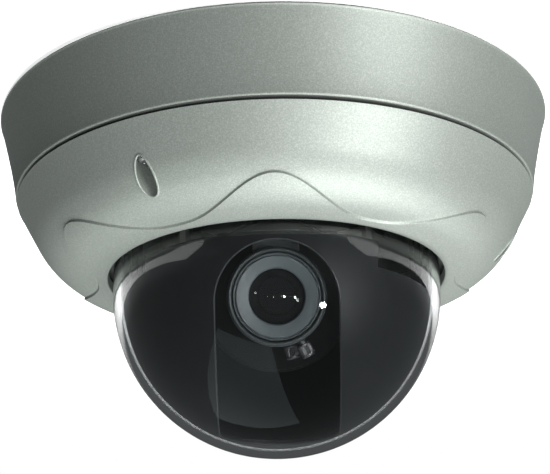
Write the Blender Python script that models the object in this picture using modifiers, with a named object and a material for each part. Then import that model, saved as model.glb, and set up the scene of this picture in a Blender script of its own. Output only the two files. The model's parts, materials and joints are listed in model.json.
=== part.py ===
"""Vandal-resistant dome security camera for a ceiling, with a three-axis camera head inside.

Frame: metres, +Z up. The origin is the centre of the flat face that lies against the ceiling, so the whole
camera hangs below it. The lens looks along -Y and down. Sizes below are in millimetres, and azimuths are in
degrees, measured from the front (-Y) towards the right (+X).
"""

import math

import bmesh
import bpy
import numpy as np
from mathutils import Matrix, Vector

MM = 0.001

# ---------------------------------------------------------------- driving dimensions
GAP = 0.3  # left between pieces that rest on each other
RUN = 0.4  # running clearance of turning pieces

BASE_R = 75.0  # cast base, at the ceiling
BASE_H = 22.7  # depth of the cast base
EDGE_R = 0.8  # rounding at the ceiling edge
BASE_TAPER = 4.8  # the base narrows by this from the ceiling to the seam
SEAM_GAP = 1.0  # dark line between them, with the gasket in it
WALL = 3.0  # castings
PLATE = 3.0  # back plate of the base

COVER_H = 21.1  # cover, from its lip to the rim round the bubble
COVER_CORNER = 8.99  # how far inside the lip its side turns into its underside
COVER_FLOOR = 10.0  # slope of its underside from the horizontal, degrees
RELIEF_H = 0.6  # raised petal pad round the bubble
RELIEF_FADE = 14.0  # depth below the lip at which the pad stands full height above the rest
RELIEF_EDGE = 0.3  # width of the pad's sloping edge
PETALS = 6
PAD_NARROW = 3.05  # width of the pad between petals, from the rim
PAD_REACH = 13.1  # how far a petal's tip stands beyond the pad between petals
PETAL_SHARP = 1.3  # above 1 makes petals narrower than the bays between them

BUBBLE_R = 43.75  # clear bubble, outside
BUBBLE_T = 1.9
BUBBLE_DROP = 3.8  # sphere centre below the rim
RIM_PLAY = 1.4  # opening in the cover, round the bubble
FLANGE_W = 6.0  # bubble flange, beyond the bubble
FLANGE_T = 1.6
SEAL_T = 0.8

LINER_PLAY = 0.75  # between bubble and liner
LINER_T = 1.5
LINER_RIM = 2.3  # liner rim above the sphere centre
SLOT_W = 31.0  # slot in the liner that the lens looks through
SLOT_TOP = 21.6  # direction of the slot's upper end, degrees below the horizontal
SLOT_END = 90.0  # direction of its lower end
NOTCHES = ((54.0, 11.5, -4.6), (-64.0, 8.0, -1.6))  # rim notches: azimuth, half width, height from the centre

SCREW_AZ = (-30.0, 90.0, 210.0)  # cover screws, each between two petals
SCREW_INSET = 8.2  # cover screw axis inside the seam radius
POCKET_WIDE = 2.5  # pocket half width, round the camera
POCKET_DEEP = 3.4  # pocket half width, towards the axis
POCKET_TOP = 5.8  # ledge that the screw head pulls on, below the seam lip

PLATE_DEPTH = 12.9  # top of the gimbal plate, below the ceiling
DISC_R = 40.0
DISC_T = 2.0
HUB_R = 12.0
HUB_HOLE = 8.6
YOKE_T = 1.5
YOKE_W = 16.0

LENS_TILT = 20.0  # lens direction at rest, degrees below the horizontal
BARREL_R = 17.2  # camera housing, which turns in the tilt cradle
CRADLE_T = 2.9  # wall of the cradle
TRUNNION = 3.5  # from the cradle to the yoke arm at each side
LENS_R = 12.4
LENS_PLAY = 3.5  # lens corner inside the liner
BOARD_T = 1.6
BOARD_DEPTH = 8.0  # top of the main board, below the ceiling
BOARD_HALF = 14.0  # sensor board, half its side

# ---------------------------------------------------------------- sizes that follow from them
SEAM_R = BASE_R - BASE_TAPER  # radius where base and cover meet
SEAM_TOP = -BASE_H
LIP_Z = SEAM_TOP - SEAM_GAP
RIM_Z = LIP_Z - COVER_H
CENTRE_Z = RIM_Z - BUBBLE_DROP  # sphere centre and tilt axis
LIP_R = SEAM_R - 0.4
RIM_R = BUBBLE_R + RIM_PLAY
PETAL_IN = RIM_R + PAD_NARROW
PETAL_OUT = PETAL_IN + PAD_REACH
BUBBLE_IN = BUBBLE_R - BUBBLE_T
LINER_R = BUBBLE_IN - LINER_PLAY
LINER_IN = LINER_R - LINER_T
FLANGE_R = BUBBLE_R + FLANGE_W
FLOOR_Z = RIM_Z + WALL  # face inside the cover that the bubble seal lies on
SEAL_Z = FLOOR_Z + GAP
FLANGE_Z = SEAL_Z + SEAL_T + GAP
CLAMP_Z = FLANGE_Z + FLANGE_T + GAP
CLAMP_T = 2.0
CLAMP_SCREW_R = FLANGE_R + 3.8
SCREW_R = SEAM_R - SCREW_INSET
CORNER_UP = math.tan(math.radians(COVER_FLOOR)) * (LIP_R - COVER_CORNER - RIM_R - 1.0)  # from the rim
COVER_DRAFT = math.atan2(COVER_CORNER, COVER_H - CORNER_UP)  # slope of its side from the vertical
LEDGE_Z = LIP_Z - POCKET_TOP
BASE_IN = SEAM_R - WALL
POST_R = BASE_IN - 13.2  # gimbal posts
MAIN_R = POST_R - 8.0  # round part of the main board
MAIN_Z = -BOARD_DEPTH - BOARD_T
GIMBAL_Z = -PLATE_DEPTH - DISC_T  # underside of the gimbal plate
DISC_TOP = GIMBAL_Z - 0.6
DISC_Z = DISC_TOP - DISC_T
PAN_Z = DISC_TOP  # height of the pan joint's frame
YOKE_Z = DISC_Z - GAP - YOKE_T
CRADLE_R = BARREL_R + RUN + CRADLE_T
YOKE_HALF = CRADLE_R + TRUNNION  # inner face of each yoke arm, from the middle
LENS_FRONT = math.sqrt((LINER_IN - LENS_PLAY) ** 2 - LENS_R**2)
SHELL_STEPS = 48
LENS_STEPS = 28
SCREW_STEPS = 8


# ---------------------------------------------------------------- scene and materials
for old in list(bpy.data.objects):
    bpy.data.objects.remove(old, do_unlink=True)

parts = bpy.data.collections.new("dome_camera")
cutters = bpy.data.collections.new("cutters")
bpy.context.scene.collection.children.link(parts)
bpy.context.scene.collection.children.link(cutters)
cutters.hide_render = True

FINISHES = {  # colour, roughness, metallic
    "silver_paint": ((0.42, 0.46, 0.44), 0.45, 0.6),
    "black_plastic": ((0.012, 0.013, 0.014), 0.4, 0.0),
    "lens_black": ((0.03, 0.033, 0.035), 0.35, 0.3),
    "clear_dome": ((0.9, 0.93, 0.93), 0.03, 0.0),
    "lens_glass": ((0.05, 0.05, 0.08), 0.03, 0.0),
    "rubber": ((0.02, 0.02, 0.02), 0.8, 0.0),
    "steel": ((0.62, 0.62, 0.63), 0.3, 1.0),
    "zinc_plate": ((0.5, 0.5, 0.49), 0.4, 1.0),
    "circuit_board": ((0.02, 0.12, 0.05), 0.5, 0.0),
    "chip_black": ((0.02, 0.02, 0.022), 0.6, 0.0),
    "terminal_green": ((0.03, 0.25, 0.08), 0.5, 0.0),
    "button_white": ((0.7, 0.7, 0.68), 0.5, 0.0),
}


def finish(name):
    """The Principled BSDF material of that name, made at its first use."""
    found = bpy.data.materials.get(name)
    if found:
        return found
    colour, roughness, metallic = FINISHES[name]
    made = bpy.data.materials.new(name)
    made.use_nodes = True
    shader = made.node_tree.nodes["Principled BSDF"]
    shader.inputs["Base Color"].default_value = (*colour, 1.0)
    shader.inputs["Roughness"].default_value = roughness
    shader.inputs["Metallic"].default_value = metallic
    return made


# ---------------------------------------------------------------- shape helpers, all in millimetres
def around(radius, azimuth, z=0.0):
    """Point at a radius and an azimuth from the front, in mm."""
    a = math.radians(azimuth)
    return (radius * math.sin(a), -radius * math.cos(a), z)


def empty(name, at, turn=0.0, parent=None):
    """Joint axis or local frame: at is in mm, turn is about X in degrees."""
    made = bpy.data.objects.new(name, None)
    parts.objects.link(made)
    made.parent = parent
    made.location = Vector(at) * MM
    made.rotation_euler = (math.radians(turn), 0.0, 0.0)
    return made


def place(mesh, name, look, at=(0, 0, 0), turn=(0, 0, 0), parent=None):
    """Object of a mesh, as a part with a finish, or as a cutter where look is None."""
    made = bpy.data.objects.new(name, mesh)
    made.parent = parent
    made.location = Vector(at) * MM
    made.rotation_euler = [math.radians(t) for t in turn]
    if look is None:
        cutters.objects.link(made)
        made.hide_render = True
        made.display_type = "WIRE"
        return made
    parts.objects.link(made)
    mesh.materials.append(finish(look))
    return made


def mesh_of(shape, name):
    """Mesh of a bmesh in mm, scaled to metres."""
    bmesh.ops.recalc_face_normals(shape, faces=shape.faces)
    bmesh.ops.scale(shape, vec=(MM, MM, MM), verts=shape.verts)
    mesh = bpy.data.meshes.new(name)
    shape.to_mesh(mesh)
    shape.free()
    return mesh


def box(name, look, low, high, **where):
    """Box between two corners."""
    shape = bmesh.new()
    bmesh.ops.create_cube(shape, size=1.0)
    size = [h - l for l, h in zip(low, high)]
    bmesh.ops.scale(shape, vec=size, verts=shape.verts)
    bmesh.ops.translate(shape, vec=[(l + h) / 2 for l, h in zip(low, high)], verts=shape.verts)
    return place(mesh_of(shape, name), name, look, **where)


def rod(name, look, radius, low, high, steps=16, oval=1.0, **where):
    """Cylinder along Z between two heights. oval stretches it along Y."""
    shape = bmesh.new()
    lift = Matrix.Translation((0, 0, (low + high) / 2))
    bmesh.ops.create_cone(
        shape, cap_ends=True, segments=steps, radius1=radius, radius2=radius, depth=high - low, matrix=lift
    )
    bmesh.ops.scale(shape, vec=(1, oval, 1), verts=shape.verts)
    return place(mesh_of(shape, name), name, look, **where)


def slab(name, look, outline, low, high, **where):
    """Flat outline in X and Y, extruded between two heights."""
    shape = bmesh.new()
    face = shape.faces.new([shape.verts.new((x, y, low)) for x, y in outline])
    grown = bmesh.ops.extrude_face_region(shape, geom=[face])
    top = [v for v in grown["geom"] if isinstance(v, bmesh.types.BMVert)]
    bmesh.ops.translate(shape, vec=(0, 0, high - low), verts=top)
    return place(mesh_of(shape, name), name, look, **where)


def turned(name, look, profile, steps=LENS_STEPS, **where):
    """Profile of (radius, height) turned about Z. It runs down the outer side and up the inner one.
    A profile that starts and ends on the axis is solid, and any other is closed into a ring."""
    mesh = bpy.data.meshes.new(name)
    points = [(r * MM, 0.0, z * MM) for r, z in profile]
    edges = [(i, i + 1) for i in range(len(points) - 1)]
    if profile[0][0] > 0.0:
        edges.append((len(points) - 1, 0))
    mesh.from_pydata(points, edges, [])
    made = place(mesh, name, look, **where)
    screw = made.modifiers.new("turn", "SCREW")
    screw.angle = 2 * math.pi
    screw.steps = screw.render_steps = steps
    screw.use_merge_vertices = True
    screw.merge_threshold = 0.00001
    screw.use_smooth_shade = False
    return made


def ring(name, look, inner, outer, low, high, **where):
    """Plain ring of rectangular section."""
    return turned(name, look, [(outer, high), (outer, low), (inner, low), (inner, high)], **where)


def apply_boolean(target, tool, operation):
    modifier = target.modifiers.new(operation.lower(), "BOOLEAN")
    modifier.operation = operation
    modifier.solver = "EXACT"
    modifier.object = tool


def cut(target, *tools):
    for tool in tools:
        apply_boolean(target, tool, "DIFFERENCE")


def join(target, *tools):
    for tool in tools:
        apply_boolean(target, tool, "UNION")


def offset(profile, distances):
    """Profile moved inwards, square to itself, by one distance or by one for each point."""
    moved = []
    if not isinstance(distances, list):
        distances = [distances] * len(profile)
    for i, (r, z) in enumerate(profile):
        before, after = profile[max(i - 1, 0)], profile[min(i + 1, len(profile) - 1)]
        dr, dz = after[0] - before[0], after[1] - before[1]
        scale = distances[i] / math.hypot(dr, dz)
        moved.append((r + scale * dz, z - scale * dr))
    return moved


def screw(name, look, head_r, head_h, shank_r, length, **where):
    """Screw whose head stands above Z 0 with a round socket in it, and whose shank goes down from 0."""
    socket_r, socket_h = head_r * 0.5, head_h * 0.55
    profile = [
        (0.0, head_h - socket_h),
        (socket_r, head_h - socket_h),
        (socket_r, head_h),
        (head_r * 0.9, head_h),
        (head_r, head_h * 0.8),
        (head_r, 0.0),
        (shank_r, 0.0),
        (shank_r, -length),
        (0.0, -length),
    ]
    return turned(name, look, profile, steps=SCREW_STEPS, **where)


# ---------------------------------------------------------------- cast base, fixed to the ceiling
MOUNT_HOLE_R = 2.6
MOUNT_AZ = (0.0, 120.0, 240.0)
MOUNT_HOLE_AT = POST_R + 6.0
CABLE_HOLE_R = 8.0
CABLE_HOLE = around(POST_R + 2.0, 300.0)
POST_AZ = (30.0, 150.0, 270.0)
STANDOFF_AZ = (60.0, 180.0, 300.0)
STANDOFF_R = MAIN_R - 6.0
BOSS_R = 4.6
TAP_R = 1.75
SHANK_R = 1.5


def mounting_base():
    outer = [(BASE_R - EDGE_R, 0.0), (BASE_R, -EDGE_R)]
    outer += [(SEAM_R + BASE_TAPER * (1 - t) ** 1.25, -BASE_H * t) for t in (0.33, 0.66)]
    outer += [(SEAM_R, SEAM_TOP)]
    body = turned("mounting_base", "silver_paint", [(0.0, 0.0), *outer, (0.0, SEAM_TOP)], steps=SHELL_STEPS)
    inside = [(r - WALL, z) for r, z in outer[2:]]
    inside = [(BASE_R - WALL, -PLATE), *inside[:-1], (BASE_IN, SEAM_TOP), (BASE_IN, SEAM_TOP - WALL)]
    cavity = turned(
        "base_cavity", None, [(0.0, -PLATE), *inside, (0.0, SEAM_TOP - WALL)], steps=SHELL_STEPS
    )
    for i, azimuth in enumerate(SCREW_AZ):
        at = around(SCREW_R, azimuth)
        cut(cavity, rod(f"base_boss_{i}", None, BOSS_R, SEAM_TOP + 1.5, 1.0, at=at))
    for i, azimuth in enumerate(POST_AZ):
        at = around(POST_R, azimuth)
        cut(cavity, rod(f"gimbal_post_{i}", None, 3.5, -PLATE_DEPTH + GAP, 1.0, at=at))
    for i, azimuth in enumerate(STANDOFF_AZ):
        at = around(STANDOFF_R, azimuth)
        cut(cavity, rod(f"board_standoff_{i}", None, 3.0, -BOARD_DEPTH + GAP, 1.0, at=at))
    cut(body, cavity)
    for i, azimuth in enumerate(SCREW_AZ):
        at = around(SCREW_R, azimuth)
        cut(body, rod(f"cover_tap_{i}", None, TAP_R, SEAM_TOP - 2, -PLATE - 6.5, steps=12, at=at))
    for i, azimuth in enumerate(POST_AZ):
        at = around(POST_R, azimuth)
        cut(body, rod(f"post_tap_{i}", None, 1.4, -PLATE_DEPTH - 2, -PLATE - 2, steps=12, at=at))
    for i, azimuth in enumerate(STANDOFF_AZ):
        at = around(STANDOFF_R, azimuth)
        cut(body, rod(f"standoff_tap_{i}", None, 1.2, -BOARD_DEPTH - 2, -PLATE - 0.6, steps=12, at=at))
    for i, azimuth in enumerate(MOUNT_AZ):
        at = around(MOUNT_HOLE_AT, azimuth)
        turn = (0, 0, azimuth + 5)
        cut(body, rod(f"mount_hole_{i}", None, MOUNT_HOLE_R, -PLATE - 2, 2.0, at=at, turn=turn))
    cut(body, rod("cable_hole", None, CABLE_HOLE_R, -PLATE - 2, 2.0, steps=24, at=CABLE_HOLE))


def base_fittings():
    middle = (SEAM_TOP + LIP_Z) / 2
    half = SEAM_GAP / 2 - 0.15
    low, high = middle - half, middle + half
    ring("base_gasket", "rubber", BASE_IN + 0.4, SEAM_R - 1.2, low, high, steps=SHELL_STEPS)
    neck, flange, bore = CABLE_HOLE_R - 0.2, CABLE_HOLE_R + 2.0, 4.2
    lip = -PLATE - GAP
    profile = [(neck, -0.4), (neck, lip), (flange, lip), (flange, lip - 1.6), (bore, lip - 1.6), (bore, -0.4)]
    turned("cable_grommet", "rubber", profile, steps=24, at=CABLE_HOLE)


# ---------------------------------------------------------------- main board and what is on it
EAR_HALF = 23.0
EAR_END = BASE_IN - 5.8
JACK = (16.0, 21.0, 13.2)  # across, long, tall
RESET_AT = (STANDOFF_R - 20.0, 12.0 - MAIN_R)  # reset switch, under a window in the gimbal plate


def main_board():
    chord = math.degrees(math.asin(EAR_HALF / MAIN_R))
    outline = [around(MAIN_R, chord - 180 + i * (360 - 2 * chord) / 36)[:2] for i in range(37)]
    outline += [(EAR_HALF, EAR_END), (-EAR_HALF, EAR_END)]
    board = slab("main_board", "circuit_board", outline, MAIN_Z, -BOARD_DEPTH)
    for i, azimuth in enumerate(STANDOFF_AZ):
        at = around(STANDOFF_R, azimuth)
        cut(board, rod(f"board_hole_{i}", None, 1.5, MAIN_Z - 2, 1.0, steps=12, at=at))
        at = around(STANDOFF_R, azimuth, MAIN_Z - GAP)
        screw(f"board_screw_{i + 1}", "steel", 2.4, 1.3, 1.0, 5.0, at=at, turn=(180, 0, 0))
    top = MAIN_Z - GAP

    across, long, tall = JACK
    back = EAR_END - 0.5
    end, middle, low = -EAR_HALF + 1.5, back - across / 2, top - tall
    jack = box("network_jack", "zinc_plate", (end, back - across, low), (end + long, back, top))
    port = (end - 2, middle - 5.9, low + 2.2), (end + 14.0, middle + 5.9, low + 9.4)
    cut(jack, box("jack_port", None, *port))

    start = end + long + 2.0
    low, high = (start, back - 8.5, top - 10.0), (start + 10.2, back, top)
    terminal = box("power_terminal", "terminal_green", low, high)
    for i in range(2):
        x = start + 2.6 + i * 5.0
        cut(terminal, rod(f"wire_hole_{i}", None, 1.4, -2.0, 6.0, steps=12, at=(x, back - 8.5, top - 6.5),
                          turn=(-90, 0, 0)))
    rod("capacitor_1", "chip_black", 3.1, top - 8.0, top, at=(EAR_HALF - 5.4, back - 4.4, 0))
    rod("capacitor_2", "chip_black", 2.5, top - 6.0, top, at=(start + 5.1, back - 12.0, 0))
    box("processor_chip", "chip_black", (-34, -12, top - 1.3), (-20, 2, top))
    box("head_socket", "button_white", (-4.0, -2.6, top - 2.6), (4.0, 2.6, top))

    box("reset_switch", "chip_black", (-3, -3, top - 1.6), (3, 3, top), at=(*RESET_AT, 0))
    rod("reset_button", "button_white", 1.3, -0.9, 0.0, steps=12, at=(*RESET_AT, top - 1.6 - GAP))


# ---------------------------------------------------------------- gimbal plate and the pan turntable
def gimbal_plate():
    plate = ring("gimbal_plate", "zinc_plate", HUB_R + RUN, MAIN_R - 2.0, GIMBAL_Z, -PLATE_DEPTH, steps=48)
    for i, azimuth in enumerate(POST_AZ):
        low, high = (-5.0, -POST_R - 4.5, GIMBAL_Z), (5.0, -MAIN_R + 6.0, -PLATE_DEPTH)
        join(plate, box(f"plate_ear_{i}", None, low, high, turn=(0, 0, azimuth)))
        at = around(POST_R, azimuth)
        cut(plate, rod(f"plate_hole_{i}", None, 1.7, GIMBAL_Z - 2, 0.0, steps=12, at=at))
        at = around(POST_R, azimuth, GIMBAL_Z - GAP)
        screw(f"gimbal_screw_{i + 1}", "steel", 2.7, 1.6, 1.2, 8.5, at=at, turn=(180, 0, 0))
    low, high = (-12.0, -4.0, GIMBAL_Z - 2), (6.0, 16.0, -PLATE_DEPTH + 2)
    cut(plate, box("reset_window", None, low, high, at=(*RESET_AT, 0)))


def pan_parts(pan):
    hub_top = -PLATE_DEPTH + GAP
    profile = [
        (HUB_R, hub_top), (HUB_R, DISC_TOP), (DISC_R, DISC_TOP), (DISC_R, DISC_Z), (HUB_HOLE, DISC_Z),
        (HUB_HOLE, hub_top),
    ]
    profile = [(r, z - PAN_Z) for r, z in profile]
    disc = turned("pan_turntable", "black_plastic", profile, steps=48, parent=pan)
    for side in (-1, 1):
        name = "left" if side < 0 else "right"
        inner, outer = sorted((side * (LINER_IN - 2.8), side * (LINER_IN - 1.0)))
        reach = CENTRE_Z + LINER_RIM + 1.0 - PAN_Z
        join(disc, box(f"liner_tab_{name}", None, (inner, -5, reach), (outer, 5, DISC_TOP - 0.5 - PAN_Z),
                       parent=pan))
        peg = rod(f"liner_peg_{name}", None, 1.5, LINER_IN - 2.0, LINER_R - 0.3, steps=12,
                  at=(0, 0, reach + 4.0), turn=(0, 90 * side, 0), parent=pan)
        join(disc, peg)
        cut(disc, rod(f"yoke_tap_{name}", None, 1.3, -6.0, 6.0, steps=12, at=(side * 17.0, 0, DISC_Z - PAN_Z),
                      parent=pan))
    retainer_z = hub_top + GAP - PAN_Z
    ring("pan_retainer", "zinc_plate", HUB_HOLE, HUB_R + 3.0, retainer_z, retainer_z + 1.0, steps=36,
         parent=pan)

    top, low = YOKE_Z + YOKE_T - PAN_Z, CENTRE_Z - PAN_Z
    half, out = YOKE_W / 2, YOKE_HALF + YOKE_T
    yoke = box("tilt_yoke", "zinc_plate", (-out, -half, low), (out, half, top), parent=pan)
    for side in (-1, 1):
        end = rod(f"yoke_end_{side}", None, half, YOKE_HALF - 1.0, out, steps=24, at=(0, 0, low),
                  turn=(0, 90 * side, 0), parent=pan)
        join(yoke, end)
    gap_low, gap_high = (-YOKE_HALF, -half - 2, low - half - 2), (YOKE_HALF, half + 2, top - YOKE_T)
    cut(yoke, box("yoke_gap", None, gap_low, gap_high, parent=pan))
    cut(yoke, rod("yoke_pivots", None, 2.6, -out - 2, out + 2, steps=16, at=(0, 0, low), turn=(0, 90, 0),
                  parent=pan))
    cut(yoke, rod("yoke_centre", None, 6.5, top - YOKE_T - 2, top + 2, steps=24, parent=pan))
    for side in (-1, 1):
        name = "left" if side < 0 else "right"
        cut(yoke, rod(f"yoke_hole_{name}", None, 1.5, top - 4, top + 2, steps=12, at=(side * 17, 0, 0),
                      parent=pan))
        screw(f"yoke_screw_{name}", "steel", 2.6, 1.6, 1.0, 3.4, at=(side * 17, 0, YOKE_Z - GAP - PAN_Z),
              turn=(180, 0, 0), parent=pan)


def slot_cutter(**where):
    """Solid as wide as the slot, from inside the liner to outside it. Each outline point has the direction it
    looks in, in degrees below the front, and its place across and up from that direction."""
    half, ends = SLOT_W / 2, (SLOT_TOP, SLOT_END)
    arc = [math.pi * i / 12 for i in range(13)]
    between = [SLOT_TOP + k * (SLOT_END - SLOT_TOP) / 5 for k in range(1, 5)]
    outline = [(ends[0], half * math.cos(t), half * math.sin(t)) for t in arc]
    outline += [(e, -half, 0.0) for e in between]
    outline += [(ends[1], -half * math.cos(t), -half * math.sin(t)) for t in arc]
    outline += [(e, half, 0.0) for e in reversed(between)]

    def point(e, across, up, out):
        e = math.radians(e)
        return (across, -out * math.cos(e) - up * math.sin(e), -out * math.sin(e) + up * math.cos(e))

    shape = bmesh.new()
    near, far = LINER_IN * 0.5, LINER_R * 1.5
    rings = [[shape.verts.new(point(*p, out)) for p in outline] for out in (near, far)]
    tips = [shape.verts.new(point(sum(ends) / 2, 0.0, 0.0, out)) for out in (near * 0.5, far * 1.2)]
    for k in range(len(outline)):
        on = (k + 1) % len(outline)
        shape.faces.new((rings[0][k], rings[0][on], rings[1][on], rings[1][k]))
        for ring_points, tip in zip(rings, tips):
            shape.faces.new((ring_points[k], ring_points[on], tip))
    return place(mesh_of(shape, "slot_cutter"), "slot_cutter", None, **where)


def inner_liner(pan):
    """Black hemisphere with a slot for the lens, clipped to the turntable so that it pans with it."""
    rings = 9

    def dome(radius):
        turns = [i * 90.0 / rings for i in range(rings + 1)]
        return [(radius * math.cos(math.radians(a)), -radius * math.sin(math.radians(a))) for a in turns]

    ear_top = LINER_RIM + 7.5
    outer, inner = dome(LINER_R), dome(LINER_IN)
    outer[-1], inner[-1] = (0.0, -LINER_R), (0.0, -LINER_IN)
    profile = [*reversed(inner), (LINER_IN, ear_top), (LINER_R, ear_top), *outer]
    centre = CENTRE_Z - PAN_Z
    liner = turned("inner_liner", "black_plastic", profile, steps=42, at=(0, 0, centre), parent=pan)
    for sign in (-1, 1):
        low, high = sorted((sign * 7.0, sign * (LINER_R + 5)))
        low, high = (-LINER_R - 5, low, LINER_RIM), (LINER_R + 5, high, ear_top + 3)
        cut(liner, box(f"rim_cut_{sign}", None, low, high, at=(0, 0, centre), parent=pan))
    for i, (azimuth, half, bottom) in enumerate(NOTCHES):
        low, high = (-half, -LINER_R - 4, bottom), (half, -LINER_IN + 12, LINER_RIM + 3)
        notch = box(f"rim_notch_{i}", None, low, high, at=(0, 0, centre), turn=(0, 0, azimuth), parent=pan)
        cut(liner, notch)
    cut(liner, slot_cutter(at=(0, 0, centre), parent=pan))
    for side in (-1, 1):
        cut(liner, rod(f"peg_hole_{side}", None, 1.9, LINER_IN - 3, LINER_R + 3, steps=12,
                       at=(0, 0, centre + LINER_RIM + 5.0), turn=(0, 90 * side, 0), parent=pan))


# ---------------------------------------------------------------- tilt cradle, camera housing and lens
CRADLE_HALF = 4.2
SENSOR_Z = -11.0  # front face of the sensor board, along the lens axis from the tilt axis
COLLAR_Z = 6.5
BARREL_Z = COLLAR_Z + 5.9  # back of the wide part of the lens
RING_GAP = 0.3
FOCUS_LEN = (LENS_FRONT - BARREL_Z) * 0.44
ZOOM_LEN = (LENS_FRONT - BARREL_Z) * 0.28
FOCUS_Z = LENS_FRONT - FOCUS_LEN
ZOOM_Z = FOCUS_Z - RING_GAP - ZOOM_LEN
FOCUS_LOCK_AT = -62.5  # lock screws' places round the lens: 0 is right and -90 is down, degrees
ZOOM_LOCK_AT = -76.0
THREAD_R = 6.9
GLASS_R = 6.8


def tilt_parts(tilt):
    inner, half = BARREL_R + RUN, CRADLE_HALF
    cradle = ring("tilt_cradle", "black_plastic", inner, CRADLE_R, -half, half, steps=36, parent=tilt)
    for side in (-1, 1):
        name = "left" if side < 0 else "right"
        boss = rod(f"trunnion_{name}", None, 4.0, CRADLE_R - 1.2, YOKE_HALF - RUN, steps=20,
                   turn=(0, 90 * side, 0), parent=tilt)
        join(cradle, boss)
        hole = rod(f"trunnion_hole_{name}", None, 1.3, CRADLE_R - 2.0, YOKE_HALF + 2, steps=12,
                   turn=(0, 90 * side, 0), parent=tilt)
        cut(cradle, hole)
        shoulder = 0.1 - YOKE_T - RUN
        profile = [
            (0.0, 1.4), (1.6, 1.4), (1.6, 2.4), (4.2, 2.4), (4.4, 2.2), (4.4, GAP), (2.3, GAP),
            (2.3, shoulder), (1.1, shoulder), (1.1, -YOKE_T - 3.0), (0.0, -YOKE_T - 3.0),
        ]
        turned(f"tilt_screw_{name}", "steel", profile, steps=16, at=(side * (YOKE_HALF + YOKE_T), 0, 0),
               turn=(0, 90 * side, 0), parent=tilt)


def camera_parts(roll):
    front = CRADLE_HALF + GAP
    profile = [
        (BARREL_R + 2.6, front + 1.6), (BARREL_R + 2.6, front), (BARREL_R, front), (BARREL_R, SENSOR_Z + GAP),
        (12.5, SENSOR_Z + GAP), (12.5, 2.0), (THREAD_R + 0.3, 2.0), (THREAD_R + 0.3, front + 1.6),
    ]
    housing = turned("camera_housing", "black_plastic", profile, steps=36, parent=roll)
    ring("roll_clip", "steel", BARREL_R + 0.1, BARREL_R + 2.2, -front - 1.0, -front, steps=36, parent=roll)

    side, corner = BOARD_HALF, BOARD_HALF - 3.0
    outline = [(corner, side), (-corner, side), (-side, corner), (-side, -corner)]
    outline += [(-corner, -side), (corner, -side), (side, -corner), (side, corner)]
    board = slab("sensor_board", "circuit_board", outline, SENSOR_Z - BOARD_T, SENSOR_Z, parent=roll)
    box("image_sensor", "chip_black", (-5.5, -5.0, SENSOR_Z + GAP), (5.5, 5.0, SENSOR_Z + 1.9), parent=roll)
    for sign in (-1, 1):
        name = "left" if sign < 0 else "right"
        at = (sign * 10.6, sign * 10.6, 0)
        low, high = SENSOR_Z - 4, SENSOR_Z + 2
        cut(board, rod(f"sensor_hole_{name}", None, 1.3, low, high, steps=12, at=at, parent=roll))
        low, high = SENSOR_Z - 2, SENSOR_Z + 7
        cut(housing, rod(f"sensor_tap_{name}", None, 1.2, low, high, steps=12, at=at, parent=roll))
        at = (at[0], at[1], SENSOR_Z - BOARD_T - GAP)
        screw(f"sensor_screw_{name}", "steel", 2.0, 1.2, 0.9, 6.0, at=at, turn=(180, 0, 0), parent=roll)

    ring("lens_collar", "zinc_plate", THREAD_R + 0.2, THREAD_R + 3.1, COLLAR_Z, BARREL_Z - RING_GAP, steps=30,
         parent=roll)
    back, wide, neck = ZOOM_Z - RING_GAP, LENS_R - 1.2, LENS_R - 2.8
    profile = [(0.0, ZOOM_Z + 1.0), (neck, ZOOM_Z + 1.0), (neck, back), (wide, back), (wide, BARREL_Z)]
    profile += [(THREAD_R, BARREL_Z), (THREAD_R, -1.0), (0.0, -1.0)]
    turned("lens_barrel", "lens_black", profile, steps=30, parent=roll)
    low = (-6.0, LENS_R - 1.2 + GAP, BARREL_Z)
    box("iris_motor", "lens_black", low, (6.0, LENS_R + 4.4, ZOOM_Z - RING_GAP), parent=roll)
    lead_y = LENS_R + 1.6
    cut(housing, rod("lead_hole", None, 1.3, 0.0, 9.0, steps=12, at=(0, lead_y, 0), parent=roll))
    wire = bpy.data.curves.new("iris_lead", "CURVE")
    wire.dimensions = "3D"
    spline = wire.splines.new("POLY")
    route = [(0, lead_y, BARREL_Z - GAP), (0, lead_y, 7.5), (0, lead_y, 3.0)]
    spline.points.add(len(route) - 1)
    for point, (x, y, z) in zip(spline.points, route):
        point.co = (x * MM, y * MM, z * MM, 1.0)
    wire.bevel_depth, wire.bevel_resolution, wire.use_fill_caps = 0.8 * MM, 2, True
    place(wire, "iris_lead", "rubber", parent=roll)


def lock_screw(name, at_angle, z, from_r, parent):
    """Thumb screw that stands out of a lens ring."""
    a = math.radians(at_angle)
    at = (from_r * math.cos(a), from_r * math.sin(a), z)
    profile = [(0.0, 4.6), (1.5, 4.6), (1.8, 4.3), (1.8, 1.2), (1.1, 1.2), (1.1, GAP), (0.0, GAP)]
    made = turned(name, "steel", profile, steps=14, at=at, parent=parent)
    made.rotation_mode = "QUATERNION"
    made.rotation_quaternion = Vector((math.cos(a), math.sin(a), 0)).to_track_quat("Z", "Y")


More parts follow.
